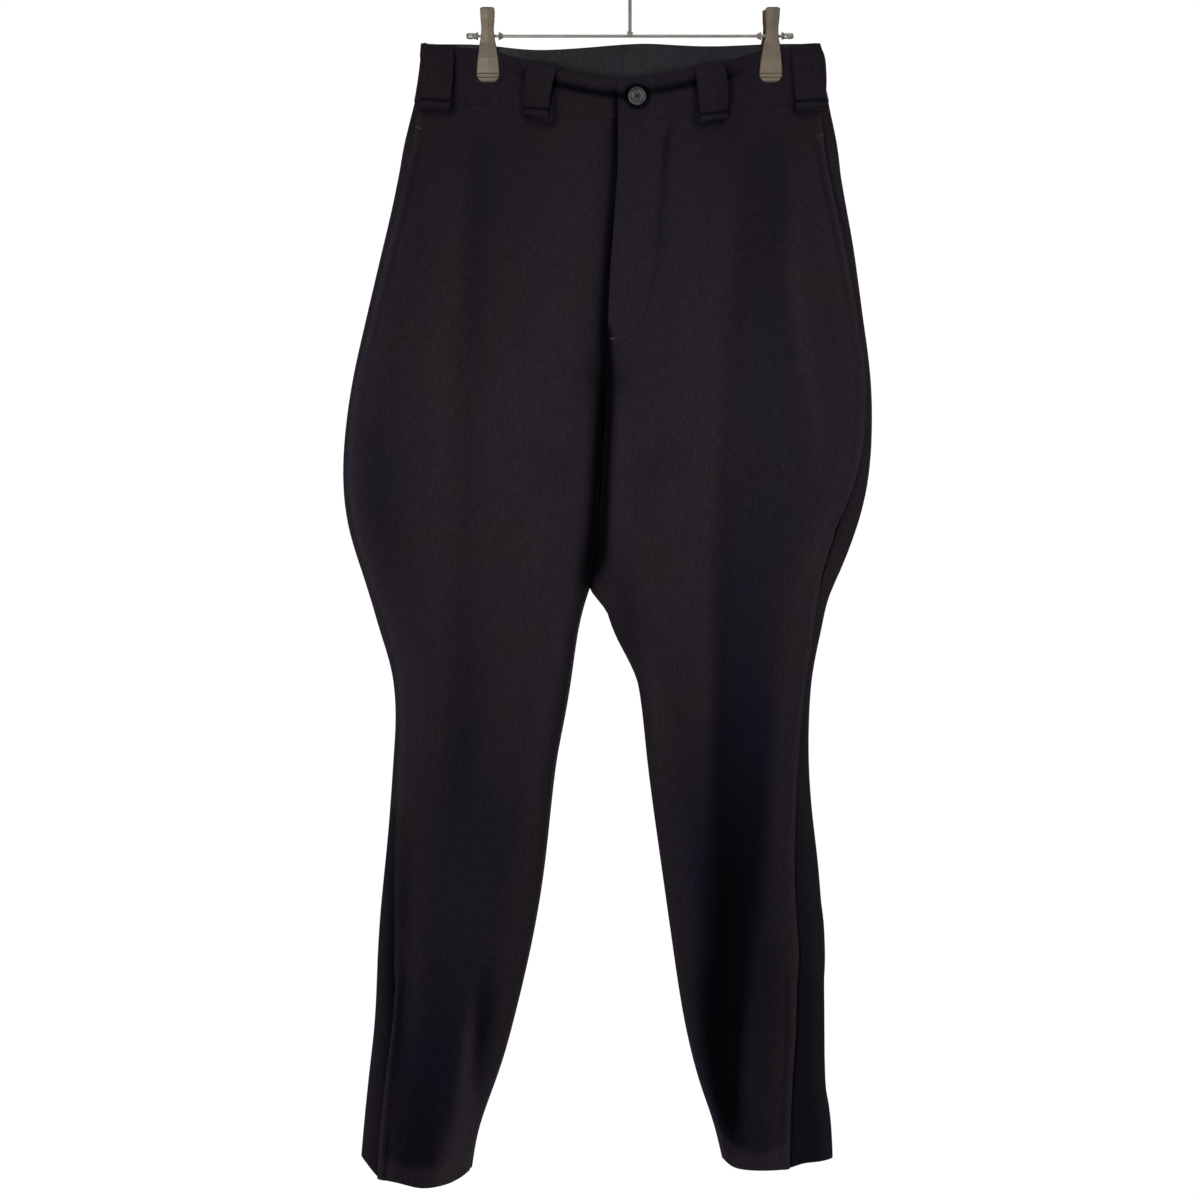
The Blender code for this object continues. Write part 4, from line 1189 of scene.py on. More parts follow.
@dataclass(frozen=True)
class Shading:
    """Where shade and highlights are painted into a leg's colour, apart from its folds and creases.

    A tone is the height in mm of a crease that would shade the cloth as much. Reaches are in mm from an
    edge, and ranges are of drop. The two low tones, painted shade below the knee, are the right leg's and
    the left's.
    """

    low: tuple[float, float] = (-1.3, -2.0)
    low_from: tuple[float, float] = (520.0, 760.0)
    edge_highlight: float = 2.4
    rim_width: float = 3.5
    side_reach: tuple[float, float] = (34.0, 0.0)
    side_from: tuple[float, float] = (120.0, 200.0)
    inner_share: float = 0.8
    inner_reach: tuple[float, float] = (38.0, 4.0)
    inner_from: tuple[float, float] = (300.0, 420.0)
    inner_again: tuple[float, float] = (500.0, 540.0)
    back_reach: tuple[float, float] = (20.0, 2.0)
    back_from: tuple[float, float] = (70.0, 110.0)
    slit: float = -0.9
    slit_from: tuple[float, float] = (600.0, 700.0)
    hem: float = 19.0
    hem_highlight: float = 2.8
    hem_shade: float = 0.5
    hem_zone: float = 60.0
    hem_column: float = 4.0

    def of_leg(self, at: Places, side: float) -> np.ndarray:
        """Paint the shade that fronts and backs share: the wedge between the legs, the slit and below the
        knee.

        Args:
            at: where the panel's points are.
            side: -1 for the wearer's right leg, 1 for the left one.

        Returns:
            The tone of each point.
        """
        right, left = self.low
        low = (left if side > 0.0 else right) * smooth(*self.low_from, at.drop)
        return INNER_SHADOW.lift(at.x, at.drop) + SIDE_SHADOW.lift(at.x, at.drop) + low

    def of_front(self, at: Places) -> np.ndarray:
        """Paint a front's light and shade: a painted highlight along its edges and on the lit fold above
        the hem, and painted shade on the ankle.

        Args:
            at: where the front's points are.

        Returns:
            The tone of each point.
        """
        edge = bell(at.inside, self.rim_width)
        edge += smooth(*self.side_reach, at.inside) * smooth(*self.side_from, at.drop)
        apart = np.minimum(smooth(*self.inner_from, at.drop) + smooth(*self.inner_again, at.drop), 1.0)
        edge += self.inner_share * smooth(*self.inner_reach, at.inner) * apart
        return self.edge_highlight * edge + HEM_LIGHT.lift(at.x, at.drop) + ANKLE_SHADOW.lift(at.x, at.drop)

    def of_back(self, at: Places, lapped: np.ndarray) -> np.ndarray:
        """Paint a back's light and shade: a painted highlight along its side edge, and painted shade on the
        cloth under the slit's lap.

        Args:
            at: where the back's points are.
            lapped: 1 where the front laps over it, else 0.

        Returns:
            The tone of each point.
        """
        edge = smooth(*self.back_reach, at.inside) * smooth(*self.back_from, at.drop)
        return self.edge_highlight * edge + self.slit * lapped * smooth(*self.slit_from, at.drop)

    def of_hem(self, points: np.ndarray) -> np.ndarray:
        """Paint a front's turned-up hem: a painted highlight below its line and painted shade above it.

        Args:
            points: the front's points, in metres.

        Returns:
            The tone of each point.
        """
        x, z = points[:, 0] / MM, points[:, 2] / MM
        low = z < z.min() + self.hem_zone
        columns = np.round(x[low] / self.hem_column).astype(int)
        used = np.unique(columns)[2:-2]
        lowest = [z[low][columns == column].min() for column in used]
        above = z - np.polyval(np.polyfit(self.hem_column * used, lowest, 2), x) - self.hem
        pale, dark = smooth(3.0, -3.0, above), stretch(above, -2.0, 6.0, 16.0, self.hem_zone)
        return self.hem_highlight * pale - self.hem_shade * dark


@dataclass(frozen=True)
class Drape:
    """Moves a leg's points by its folds, creases and small unevenness, and paints shade and highlights into
    its colour.
    """

    face: Face
    creases: tuple[Crease, ...]
    folds: Relief | None = None
    fly: tuple[Crease, ...] = ()
    seams: Seams = Seams()
    shading: Shading = Shading()
    ripple: float = 0.6
    ripple_length: float = 46.0
    short_share: float = 0.5
    short_length: float = 0.4
    seeds: tuple[float, float] = (3.0, 12.0)
    side_calm: float = 11.0
    inner_calm: float = 16.0
    top_calm: tuple[float, float] = (58.0, 100.0)
    # How much painted shade or highlight each mm of fold or crease gives, and its limits.
    fold_shade: float = 0.055
    crease_shade: float = 0.15
    fold_shade_range: tuple[float, float] = (-0.85, 0.22)
    shade_range: tuple[float, float] = (-0.9, 0.6)

    def apply(self, obj: bpy.types.Object, edges: Edges) -> None:
        """Move the panel's points and paint its shade and highlights.

        Args:
            obj: the refined cloth piece.
            edges: the piece's side and inner seams, where the folds die out.
        """
        points = coordinates(obj)
        at = edges.places(points)
        calm = smooth(0.0, self.side_calm, at.inside)
        calm *= smooth(0.0, self.inner_calm, at.inner) * smooth(*self.top_calm, at.drop)
        folds = self.folds.lift(at.x, at.drop) * calm if self.folds else np.zeros_like(at.x)
        marks = sum(row.lift(at.x, at.drop) for row in self.creases) * calm
        marks += sum(row.lift(at.x, at.drop) for row in self.fly)
        paint = self.shading.of_leg(at, edges.side)
        if self.face is Face.FRONT:
            marks += sum(row.lift(at.x, at.drop) for row in LOOP_SHADOWS)
            marks += self.seams.front_lift(at)
            paint += self.shading.of_front(at) + self.shading.of_hem(points)
        else:
            paint += self.shading.of_back(at, self.seams.lapped(at.drop))
        points[:, 0] += self.seams.shift(at, self.face, edges.side) * MM
        if self.face is Face.FRONT:
            self.seams.close_top(points)
        lift = folds + marks + self.unevenness(at) * calm
        points[:, 1] += (self.face.value * lift + BETWEEN_LEGS.lift(at.x, at.drop)) * MM
        set_coordinates(obj, points)
        # Painted shade and highlights: folds and creases are painted darker in their troughs and paler on
        # their ridges, and the painted tones are added.
        nap_and_painted_shading = np.clip(self.fold_shade * folds + self.crease_shade * marks, *self.fold_shade_range)
        brush(obj, np.clip(nap_and_painted_shading + self.crease_shade * paint, *self.shade_range))

    def unevenness(self, at: Places) -> np.ndarray:
        """Roughen the cloth gently, in long waves and in shorter ones.

        Args:
            at: where the panel's points are.

        Returns:
            The cloth's unevenness, in mm.
        """
        flat = np.column_stack([at.x, np.zeros_like(at.x), at.drop])
        long = soft_noise(flat, self.ripple_length, self.seeds[0])
        short = soft_noise(flat, self.short_length * self.ripple_length, self.seeds[1])
        return self.ripple * (long + self.short_share * short)


# ---------------------------------------------------------------- cloth pieces


class Cut(NamedTuple):
    """One cut piece: its solid's node, its side, and its flat size and area in metres."""

    node: str
    face: Face
    flat: tuple[float, float]
    area: float


@dataclass
class ClothPiece:
    """One cut piece of cloth: a refined copy of its solid, dressed in its place."""

    cut: Cut
    name: str
    rests_on: tuple[str, ...]
    fineness: Fineness = Fineness.FINE
    edge_hold: float = 0.9
    obj: bpy.types.Object | None = None

    def build(self) -> None:
        """Model the piece from its solid."""
        self.obj = cad_copy(self.cut.node, self.name)
        refine(self.obj, self.fineness, self.edge_hold)

    def dress(self, material: bpy.types.Material) -> None:
        """Finish the piece and set it in place of its solid.

        Args:
            material: the cloth's finish.
        """
        dress(self.obj, material)
        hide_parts(self.cut.node)
        LOG.info("%s: %d faces", self.name, len(self.obj.data.polygons))


@dataclass
class Legs:
    """The two fronts and two backs, from the waistband's seam to the hems."""

    front_flat: tuple[float, float] = (0.29, 1.03)
    front_area: float = 0.205
    back_flat: tuple[float, float] = (0.34, 1.05)
    back_area: float = 0.240
    pieces: list[ClothPiece] = field(default_factory=list)

    def build(self, wool: bpy.types.Material) -> None:
        """Make the four panels.

        Args:
            wool: their finish.
        """
        sides = (("r", RIGHT_FOLDS, (UNDER_FLY, FLY_SHADOW)), ("l", LEFT_FOLDS, ()))
        for mark, folds, fly in sides:
            front = Cut(f"front_panel_{mark}", Face.FRONT, self.front_flat, self.front_area)
            back = Cut(f"back_panel_{mark}", Face.BACK, self.back_flat, self.back_area)
            self.add(front, Drape(Face.FRONT, FRONT_CREASES, folds, fly), Fineness.FINE, wool)
            self.add(back, Drape(Face.BACK, BACK_CREASES), Fineness.MEDIUM, wool)

    def add(self, cut: Cut, drape: Drape, fineness: Fineness, wool: bpy.types.Material) -> None:
        """Model, even out, drape and dress one panel.

        Args:
            cut: the panel's cut.
            drape: its folds and creases.
            fineness: how often its mesh is divided.
            wool: its finish.
        """
        piece = ClothPiece(cut, cut.node.replace("panel", "leg"), ("hanger_bar",), fineness)
        piece.build()
        edges = Edges.of_panel(piece.obj)
        even_out(piece.obj, edges.middle(coordinates(piece.obj)))
        drape.apply(piece.obj, edges)
        piece.dress(wool)
        self.pieces.append(piece)


@dataclass
class Waistband:
    """The waistband: two fronts, the back and the facing that shows inside it."""

    cuts: tuple[Cut, ...] = (
        Cut("waistband_front_r", Face.FRONT, (0.235, 0.055), 0.0125),
        Cut("waistband_front_l", Face.FRONT, (0.20, 0.055), 0.0105),
        Cut("waistband_back", Face.BACK, (0.385, 0.055), 0.0210),
        Cut("waistband_facing_back", Face.BACK, (0.37, 0.050), 0.0180),
    )
    rests_on: tuple[str, ...] = ("clip_r_lever_front", "clip_l_lever_front")
    seat_radius: float = 10.6
    seat_width: float = 2.2
    seat_depth: float = 1.6
    press: float = 0.4
    deepest: float = 2.6
    # Shares of painted shade for the trough, the outlines and the button's ring.
    nap_and_painted_shading: tuple[float, float, float] = (0.34, 0.17, 0.55)
    facing_seam: float = -7.6
    facing_seam_width: float = 1.6
    facing_half: float = 60.0
    facing_tone: tuple[float, float, float] = (0.10, 0.22, 0.18)

    def build(self, wool: bpy.types.Material, facing: bpy.types.Material) -> list[ClothPiece]:
        """Model and dress the four pieces.

        Args:
            wool: the finish of the three outer pieces.
            facing: the facing's finish.

        Returns:
            The pieces.
        """
        made = []
        for cut in self.cuts:
            piece = ClothPiece(cut, cut.node + "_cloth", self.rests_on)
            piece.build()
            lines_waist = "facing" in cut.node
            if lines_waist:
                self.brush_facing(piece.obj)
            elif cut.face is Face.FRONT:
                self.bend_strip(piece.obj)
            piece.dress(facing if lines_waist else wool)
            made.append(piece)
        return made

    def brush_facing(self, obj: bpy.types.Object) -> None:
        """Darken the facing towards the wearer's left, and along its seam.

        Args:
            obj: the facing.
        """
        off = coordinates(obj)[:, 0] / MM - self.facing_seam
        start, fall, seam = self.facing_tone
        turned = start - fall * smooth(-self.facing_half, self.facing_half, off)
        brush(obj, turned - seam * bell(off, self.facing_seam_width))

    def bend_strip(self, obj: bpy.types.Object) -> None:
        """Sink the trough under the strip that bends forward, and the button's and loops' seats, and paint
        them dark as their shade.

        Args:
            obj: one of the waistband's fronts.
        """
        points = coordinates(obj)
        x, drop = points[:, 0] / MM, drop_of(points[:, 2])
        bend = BAND_CREASE.lift(x, drop)
        marks = sum(row.lift(x, drop) for row in LOOP_SHADOWS)
        if obj.name.startswith("waistband_front_r"):
            marks += FLY_SHADOW.lift(x, drop)
        off = np.hypot(x - BUTTON_AT[0], drop - BUTTON_AT[1])
        seat = -self.seat_depth * bell(off - self.seat_radius, self.seat_width)
        sunk = bend + self.press * (marks + seat)
        points[:, 1] -= np.clip(sunk, -self.deepest, 0.0) * MM
        set_coordinates(obj, points)
        # Painted shade: the trough, the loops' and fly's outlines and the ring round the button.
        nap_and_painted_shading = sum(share * part for share, part in zip(self.nap_and_painted_shading, (bend, marks, seat)))
        brush(obj, np.clip(nap_and_painted_shading, -0.88, 0.0))


@dataclass
class BeltLoops:
    """The seven belt loops, with their lower ends turned under."""

    nodes: tuple[str, ...] = (
        "belt_loop_front_r_side",
        "belt_loop_front_r",
        "belt_loop_front_l",
        "belt_loop_front_l_side",
        "belt_loop_back_r",
        "belt_loop_back_centre",
        "belt_loop_back_l",
    )
    rests_on: tuple[str, ...] = (
        "waistband_front_r_cloth",
        "waistband_front_l_cloth",
        "waistband_back_cloth",
    )
    flat: tuple[float, float] = (0.0265, 0.080)
    area: float = 0.0021
    edge_hold: float = 0.5
    turned: float = 6.6
    pressed: float = 0.8
    pressed_width: float = 1.5
    proud: float = 0.5
    proud_fade: float = 3.0
    lower_end: float = 14.0
    corner: float = 2.5

    def build(self, wool: bpy.types.Material) -> None:
        """Model and dress the loops.

        Args:
            wool: their finish.
        """
        for node in self.nodes:
            face = Face.FRONT if "front" in node else Face.BACK
            cut = Cut(node, face, self.flat, self.area)
            piece = ClothPiece(cut, node + "_cloth", self.rests_on, edge_hold=self.edge_hold)
            piece.build()
            self.turn_under(piece)
            piece.dress(wool)

    def turn_under(self, piece: ClothPiece) -> None:
        """Press the line above a loop's turned lower end, which stands a little proud, and paint the line
        dark as its shade.

        Args:
            piece: the loop.
        """
        points = coordinates(piece.obj)
        x, z = points[:, 0] / MM, points[:, 2] / MM
        low = z < z.min() + self.lower_end
        x0, x1 = x[low].min(), x[low].max()
        left, right = low & (x < x0 + self.corner), low & (x > x1 - self.corner)
        above = z - np.interp(x, (x0, x1), (z[left].min(), z[right].min()))
        line = -self.pressed * bell(above - self.turned, self.pressed_width)
        proud = self.proud * smooth(self.turned, self.turned - self.proud_fade, above)
        points[:, 1] += piece.cut.face.value * (line + proud) * MM
        set_coordinates(piece.obj, points)
        # Painted shade along the pressed line.
        brush(piece.obj, 0.8 * line)


# ---------------------------------------------------------------- sewing


class Surface:
    """The front of finished cloth, on which sewing is laid."""

    def __init__(self, objects: Sequence[bpy.types.Object]) -> None:
        """Gather the faces of some pieces.

        Args:
            objects: finished pieces.
        """
        corners: list[Vector] = []
        faces: list[tuple[int, ...]] = []
        for obj in objects:
            start = len(corners)
            corners.extend(v.co.copy() for v in obj.data.vertices)
            faces.extend(tuple(start + i for i in p.vertices) for p in obj.data.polygons)
        self.tree = BVHTree.FromPolygons(corners, faces)

    def at(self, x: float, drop: float) -> tuple[Vector, Vector] | None:
        """Look for the cloth straight from the front.

        Args:
            x: the place across, in mm.
            drop: its drop, in mm.

        Returns:
            The cloth's point and its outward normal, or None beside the cloth.
        """
        start = Vector((x * MM, -RAY_START, height_of(drop)))
        hit, normal, _, _ = self.tree.ray_cast(start, Vector((0.0, 1.0, 0.0)))
        if hit is None:
            return None
        return hit, normal if normal.y < 0.0 else -normal


@dataclass(frozen=True)
class Stitch:
    """One stitch's size in mm: its length, its thickness and how deep it sinks."""

    length: float
    thick: float
    sink: float = 0.25

    def shape(self) -> tuple[np.ndarray, list[tuple[int, ...]]]:
        """Model the stitch, along X with Z outward.

        Returns:
            Its points, in metres, and its faces.
        """
        deselect()
        bpy.ops.mesh.primitive_uv_sphere_add(segments=6, ring_count=5, radius=0.5)
        grain = bpy.context.object
        bpy.ops.object.mode_set(mode="EDIT")
        bpy.ops.mesh.select_all(action="SELECT")
        bpy.ops.transform.rotate(value=math.pi / 2.0, orient_axis="Y", center_override=(0, 0, 0))
        bpy.ops.transform.resize(value=(self.length, self.thick, self.thick))
        bpy.ops.object.mode_set(mode="OBJECT")
        points = coordinates(grain) * MM
        faces = [tuple(face.vertices) for face in grain.data.polygons]
        bpy.data.objects.remove(grain)
        return points, faces


@dataclass
class Sewing:
    """Stitches laid on a surface and joined into one piece."""

    name: str
    surface: Surface
    stitch: Stitch
    points: list[np.ndarray] = field(default_factory=list)
    faces: list[tuple[int, ...]] = field(default_factory=list)

    def __post_init__(self) -> None:
        """Model the stitch that all the others repeat."""
        self.grain, self.grain_faces = self.stitch.shape()

    def lay(self, x: float, drop: float, turn: float) -> None:
        """Lay one stitch.

        Args:
            x: its place across, in mm.
            drop: its drop, in mm.
            turn: how far it is turned from the level, in radians.
        """
        spot = self.surface.at(x, drop)
        if spot is None:
            return
        place, out = spot
        along = Vector((math.cos(turn), 0.0, -math.sin(turn)))
        along = (along - out * along.dot(out)).normalized()
        across = out.cross(along)
        axes = np.array([along, across, out])
        lifted = place + out * self.stitch.thick * (0.5 - self.stitch.sink) * MM
        start = sum(len(group) for group in self.points)
        self.points.append(self.grain @ axes + np.array(lifted))
        self.faces.extend(tuple(start + i for i in face) for face in self.grain_faces)

    def run(self, path: Sequence[tuple[float, float]], pitch: float) -> None:
        """Lay a running row along a path of x and drop."""
        for x, drop, turn in self.spaced(path, pitch):
            self.lay(x, drop, turn)

    def across(self, path: Sequence[tuple[float, float]], pitch: float) -> None:
        """Lay stitches close together across a path, as in a bar tack or buttonhole."""
        for x, drop, turn in self.spaced(path, pitch):
            self.lay(x, drop, turn + math.pi / 2.0)

    @staticmethod
    def spaced(
        path: Sequence[tuple[float, float]], pitch: float
    ) -> list[tuple[float, float, float]]:
        """Space a path evenly.

        Args:
            path: its corners, as x and drop in mm.
            pitch: how far apart the places are.

        Returns:
            The places, each with the path's turn in radians.
        """
        rows = np.array(path, dtype=float)
        steps = np.hypot(*np.diff(rows, axis=0).T)
        run = np.concatenate([[0.0], np.cumsum(steps)])
        at = np.arange(0.5 * pitch, run[-1], pitch)
        x, drop = np.interp(at, run, rows[:, 0]), np.interp(at, run, rows[:, 1])
        ahead = np.minimum(at + 0.5 * pitch, run[-1])
        behind = np.maximum(at - 0.5 * pitch, 0.0)
        run_x = np.interp(ahead, run, rows[:, 0]) - np.interp(behind, run, rows[:, 0])
        run_drop = np.interp(ahead, run, rows[:, 1]) - np.interp(behind, run, rows[:, 1])
        return list(zip(x, drop, np.arctan2(run_drop, run_x)))

    def dress(self, material: bpy.types.Material) -> None:
        """Join the stitches into one piece and finish it.

        Args:
            material: the thread's finish.
        """
        mesh = bpy.data.meshes.new(self.name)
        mesh.from_pydata(np.vstack(self.points).tolist(), [], self.faces)
        obj = bpy.data.objects.new(self.name, mesh)
        bpy.context.scene.collection.objects.link(obj)
        activate(obj)
        bpy.ops.object.shade_smooth()
        dress(obj, material)
        LOG.info("%s: %d faces", self.name, len(mesh.polygons))


def ellipse(
    centre: tuple[float, float], half: tuple[float, float], turn: float, count: int = 40
) -> list[tuple[float, float]]:
    """Draw a closed ellipse.

    Args:
        centre: its x and drop, in mm.
        half: its half length and half width.
        turn: how far its length is turned from the level, in radians.
        count: how many sides it has.

    Returns:
        Its corners, as x and drop, the first one repeated at the end.
    """
    path = []
    for k in range(count + 1):
        angle = 2.0 * math.pi * k / count
        u, v = half[0] * math.cos(angle), half[1] * math.sin(angle)
        x = centre[0] + u * math.cos(turn) - v * math.sin(turn)
        path.append((x, centre[1] + u * math.sin(turn) + v * math.cos(turn)))
    return path


@dataclass(frozen=True)
class FlySewing:
    """The fly's curved row, its lower tack, the buttonhole and the pockets' bar tacks."""

    curve: tuple[tuple[float, float], ...] = (
        (39.0, 78.0),
        (35.5, 88.0),
        (33.3, 105.0),
        (31.8, 125.0),
        (29.5, 150.0),
        (26.5, 185.0),
        (22.0, 220.0),
        (14.0, 255.0),
        (2.0, 275.0),
        (-14.0, 285.0),
    )
    tack: tuple[tuple[float, float], ...] = ((-19.0, 278.5), (-12.5, 278.5))
    pocket_tacks: tuple[tuple[tuple[float, float], ...], ...] = (
        ((-203.5, 76.5), (-196.5, 79.5)),
        ((177.5, 86.0), (184.5, 83.0)),
    )
    hole_from: tuple[float, float] = (8.0, 48.0)
    hole_to: tuple[float, float] = (24.0, 42.6)
    hole_half_width: float = 1.15
    # The fly's row is thick and near black so that it also reads as the shadow along its stitched ridge.
    row_stitch: Stitch = Stitch(2.6, 0.8)
    row_pitch: float = 2.8
    tack_stitch: Stitch = Stitch(2.3, 0.45, 0.1)
    tack_pitch: float = 0.42
    hole_stitch: Stitch = Stitch(1.7, 0.42, 0.1)
    hole_pitch: float = 0.5

    def build(self, legs: Surface, band: Surface, cloth: "Finishes") -> None:
        """Lay all the sewing.

        Args:
            legs: the fronts' cloth.
            band: the waistband's cloth.
            cloth: the finishes.
        """
        row = Sewing("fly_stitching", legs, self.row_stitch)
        row.run(self.curve, self.row_pitch)
        row.dress(cloth.thread)
        tacks = Sewing("bar_tacks", legs, self.tack_stitch)
        for path in (self.tack, *self.pocket_tacks):
            tacks.across(path, self.tack_pitch)
        tacks.dress(cloth.tack)
        (x0, drop0), (x1, drop1) = self.hole_from, self.hole_to
        turn = math.atan2(drop1 - drop0, x1 - x0)
        centre = (0.5 * (x0 + x1), 0.5 * (drop0 + drop1))
        half = (0.5 * math.hypot(x1 - x0, drop1 - drop0), self.hole_half_width)
        hole = Sewing("buttonhole_stitching", band, self.hole_stitch)
        hole.across(ellipse(centre, half, turn), self.hole_pitch)
        hole.dress(cloth.thread)


@dataclass(frozen=True)
class ButtonThread:
    """The strands that cross over the button's face between its holes, in mm."""

    name: str = "button_thread"
    hole: float = 1.7
    thick: float = 0.62
    spacing: float = 0.62
    rise: float = 0.55
    rise_step: float = 0.12
    over: float = 0.2
    past_hole: float = 1.06
    dive: float = 1.3
    strands: int = 3

    def build(self, material: bpy.types.Material) -> None:
        """Lay the strands on the button's front face and join them.

        Args:
            material: the thread's finish.
        """
        face = Surface([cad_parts["waist_button"]]).at(*BUTTON_AT)
        if face is None:
            return
        deselect()
        made = []
        for diagonal in (1.0, -1.0):
            for strand in range(self.strands):
                off = (strand - 0.5 * (self.strands - 1)) * self.spacing * self.thick
                extra = self.rise_step * strand + self.over * (diagonal > 0.0)
                made.append(self.strand(face[0], diagonal, off, extra))
        deselect()
        for obj in made:
            obj.select_set(True)
        bpy.context.view_layer.objects.active = made[0]
        bpy.ops.object.join()
        thread = bpy.context.object
        thread.name = thread.data.name = self.name
        bpy.ops.object.shade_smooth()
        dress(thread, material)
        LOG.info("%s: %d faces", self.name, len(thread.data.polygons))

    def strand(self, middle: Vector, diagonal: float, off: float, extra: float) -> bpy.types.Object:
        """Model one strand from a hole to the one opposite, bowed over the face.

        Args:
            middle: the middle of the button's face.
            diagonal: 1 or -1, for which way it crosses.
            off: its offset to one side, in mm.
            extra: how much further it stands out, in mm.

        Returns:
            The strand.
        """
        bpy.ops.mesh.primitive_cylinder_add(vertices=8, radius=0.5 * self.thick * MM, depth=1.0)
        obj = bpy.context.object
        bpy.ops.object.mode_set(mode="EDIT")
        bpy.ops.mesh.select_all(action="SELECT")
        bpy.ops.mesh.subdivide(number_cuts=8)
        bpy.ops.object.mode_set(mode="OBJECT")
        points = coordinates(obj)
        along = points[:, 2] * 2.0
        reach = self.hole * math.sqrt(2.0) * self.past_hole
        bow = (self.rise + extra) * (1.0 - np.abs(along) ** 4) - self.dive * np.abs(along) ** 8
        side = points[:, 0] / MM + off
        x = math.sqrt(0.5) * (along * reach - diagonal * side)
        z = math.sqrt(0.5) * (diagonal * along * reach + side)
        out = -(bow + points[:, 1] / MM)
        set_coordinates(obj, np.column_stack([x, out, z]) * MM + np.array(middle))
        return obj


@dataclass(frozen=True)
class Finishes:
    """The materials that several pieces share."""

    wool: bpy.types.Material
    facing: bpy.types.Material
    thread: bpy.types.Material
    tack: bpy.types.Material
    button_thread: bpy.types.Material

    @classmethod
    def made(cls) -> "Finishes":
        """Make the shared materials.

        Returns:
            The finishes.
        """
        makers = (WOOL, FACING, THREAD, TACK_THREAD, BUTTON_THREAD)
        return cls(*(maker.material() for maker in makers))


# ---------------------------------------------------------------- hard pieces


@dataclass(frozen=True)
class Hardware:
    """The button, clips and hanger, which keep their solids and get their finishes."""

    buttons: tuple[str, ...] = ("waist_button",)
    wires: tuple[str, ...] = ("hanger_bar", "hanger_hook")
    levers: tuple[str, ...] = (
        "clip_r_lever_front",
        "clip_r_lever_back",
        "clip_l_lever_front",
        "clip_l_lever_back",
    )
    springs: tuple[str, ...] = ("clip_r_spring", "clip_l_spring")

    def dress(self) -> None:
        """Give each hard node its finish."""
        groups = (
            (HORN, self.buttons),
            (CLIP_METAL, self.levers),
            (SPRING_METAL, self.springs),
            (WIRE_METAL, self.wires),
        )
        for finish, nodes in groups:
            material = finish.material()
            for node in nodes:
                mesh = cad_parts[node].data
                mesh.materials.clear()
                mesh.materials.append(material)
                LOG.info("%s dressed", node)


# ---------------------------------------------------------------- studio


@dataclass(frozen=True)
class SoftBox:
    """A large soft light: where it stands, what it looks at, its size and power."""

    name: str
    at: tuple[float, float, float]
    look: tuple[float, float, float]
    size: tuple[float, float]
    power: float
    spread: float

    def place(self) -> None:
        """Add the light."""
        lamp = bpy.data.lights.new(self.name, "AREA")
        lamp.shape = "RECTANGLE"
        lamp.size, lamp.size_y = self.size
        lamp.energy = self.power
        lamp.spread = math.radians(self.spread)
        obj = bpy.data.objects.new(self.name, lamp)
        obj.location = self.at
        aim = Vector(self.look) - Vector(self.at)
        obj.rotation_euler = aim.to_track_quat("-Z", "Y").to_euler()
        bpy.context.scene.collection.objects.link(obj)


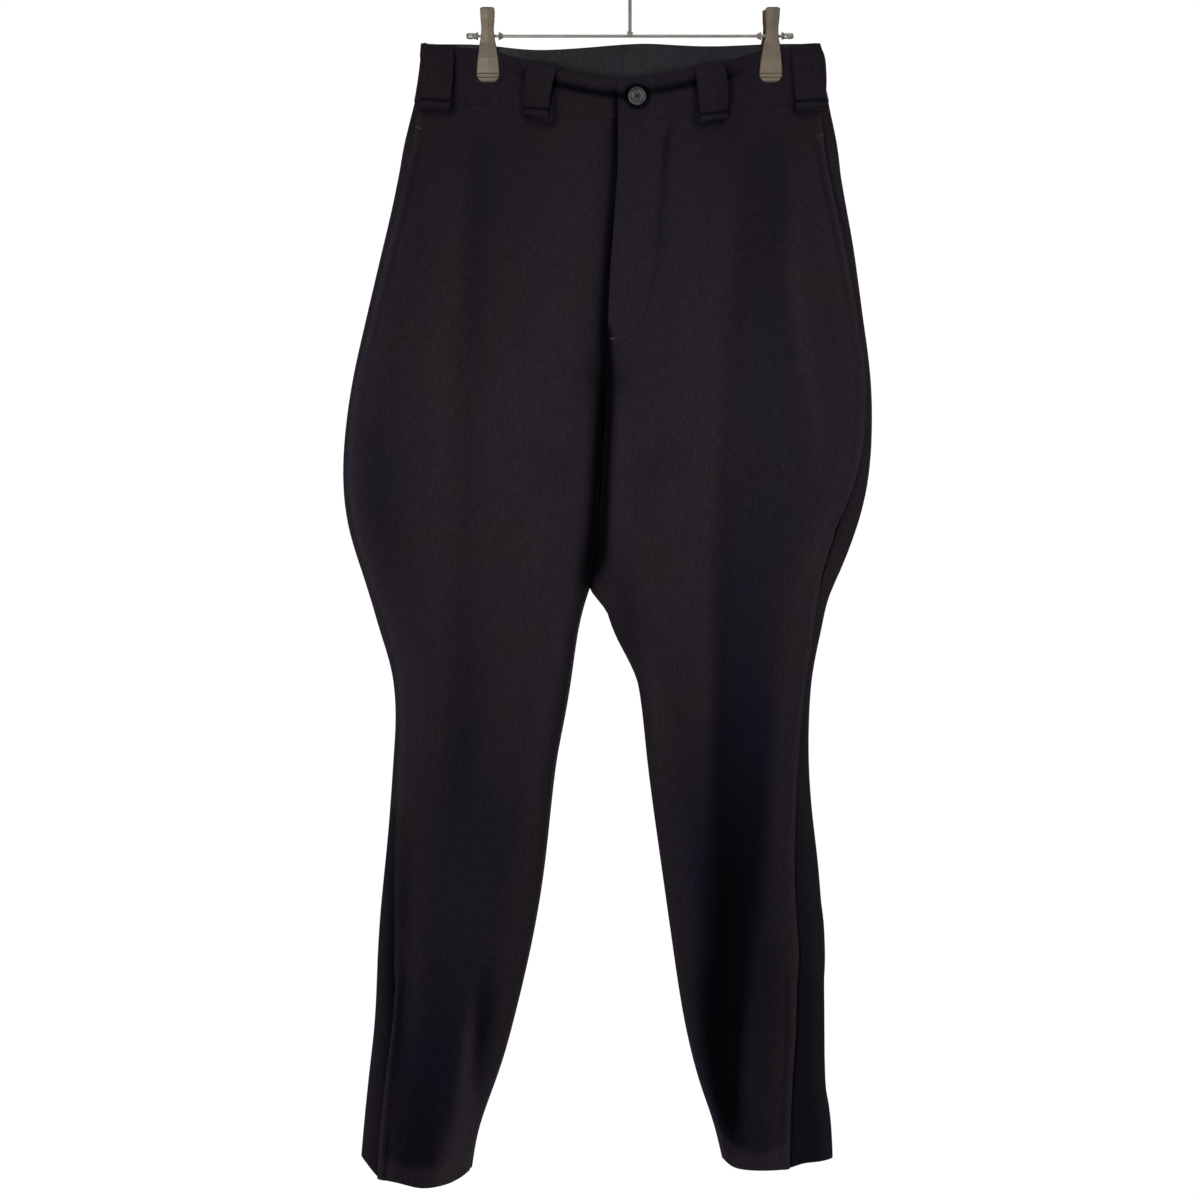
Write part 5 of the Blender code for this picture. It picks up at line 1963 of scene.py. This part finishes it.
@dataclass(frozen=True)
class Studio:
    """The floor, white surround, lights and the camera square to the front."""

    frame_centre: tuple[float, float] = (-0.0285, -0.6407)
    frame_width: float = 1.14
    distance: float = 5.0
    floor: float = -1.36
    floor_size: float = 1.7
    backdrop: float = 1.02
    ambient: float = 0.07

    def build(self) -> None:
        """Set up everything that isn't the garment."""
        self.place_camera()
        self.lay_floor()
        self.light_room()
        for box in (
            SoftBox("key", (-0.55, -1.5, -0.40), (-0.04, 0.0, -0.58), (0.35, 0.45), 3.1, 88.0),
            SoftBox("fill", (0.6, -1.5, -0.1), (0.08, 0.0, -0.42), (0.4, 0.5), 0.5, 45.0),
            SoftBox("back", (0.5, 1.9, 0.1), (0.0, 0.0, -0.6), (1.0, 1.2), 14.0, 120.0),
            SoftBox("side_r", (-2.0, 0.8, -0.4), (-0.1, 0.0, -0.6), (0.8, 1.2), 2.4, 100.0),
            SoftBox("side_l", (2.0, 0.8, -0.4), (0.1, 0.0, -0.6), (0.8, 1.2), 3.0, 100.0),
            SoftBox("top", (0.0, 0.3, 1.7), (0.0, 0.2, -1.36), (1.6, 1.6), 8.0, 140.0),
        ):
            box.place()

    def place_camera(self) -> None:
        """Stand the camera in front, level, framing what the photograph frames."""
        camera = bpy.data.cameras.new("camera")
        camera.sensor_width = 36.0
        camera.lens = 36.0 * self.distance / self.frame_width
        camera.clip_start = 0.1
        camera.clip_end = 60.0
        obj = bpy.data.objects.new("camera", camera)
        x, z = self.frame_centre
        obj.location = (x, -self.distance, z)
        obj.rotation_euler = (math.pi / 2.0, 0.0, 0.0)
        bpy.context.scene.collection.objects.link(obj)
        bpy.context.scene.camera = obj

    def lay_floor(self) -> None:
        """Lay a round sheet of pale paper under the garment."""
        deselect()
        bpy.ops.mesh.primitive_circle_add(
            vertices=96, radius=0.5 * self.floor_size, fill_type="NGON", location=(0, 0, self.floor)
        )
        floor = bpy.context.object
        floor.name = "studio_floor"
        bpy.ops.object.transform_apply(location=True)
        floor.data.materials.append(StudioFinish().material())

    def light_room(self) -> None:
        """Surround the scene with even white light."""
        world = bpy.data.worlds.new("surround")
        world.use_nodes = True
        nodes = world.node_tree.nodes
        links = world.node_tree.links
        sky = nodes["Background"]
        seen = nodes.new("ShaderNodeLightPath").outputs["Is Camera Ray"]
        strength = nodes.new("ShaderNodeMapRange")
        strength.inputs["To Min"].default_value = self.ambient
        strength.inputs["To Max"].default_value = self.backdrop
        links.new(seen, strength.inputs["Value"])
        links.new(strength.outputs["Result"], sky.inputs["Strength"])
        sky.inputs["Color"].default_value = (1.0, 1.0, 1.0, 1.0)
        bpy.context.scene.world = world
        view = bpy.context.scene.view_settings
        view.view_transform = "Standard"
        view.look = "None"


def main() -> None:
    """Build the garment's cloth, its hard pieces and the studio."""
    logging.basicConfig(level=logging.INFO, format="%(message)s")
    deselect()
    Studio().build()
    cloth = Finishes.made()
    legs = Legs()
    legs.build(cloth.wool)
    band = Waistband().build(cloth.wool, cloth.facing)
    BeltLoops().build(cloth.wool)
    Hardware().dress()
    fronts = [piece.obj for piece in legs.pieces if piece.cut.face is Face.FRONT]
    bands = [piece.obj for piece in band]
    FlySewing().build(Surface(fronts), Surface(bands), cloth)
    ButtonThread().build(cloth.button_thread)


if __name__ == "__main__":
    main()
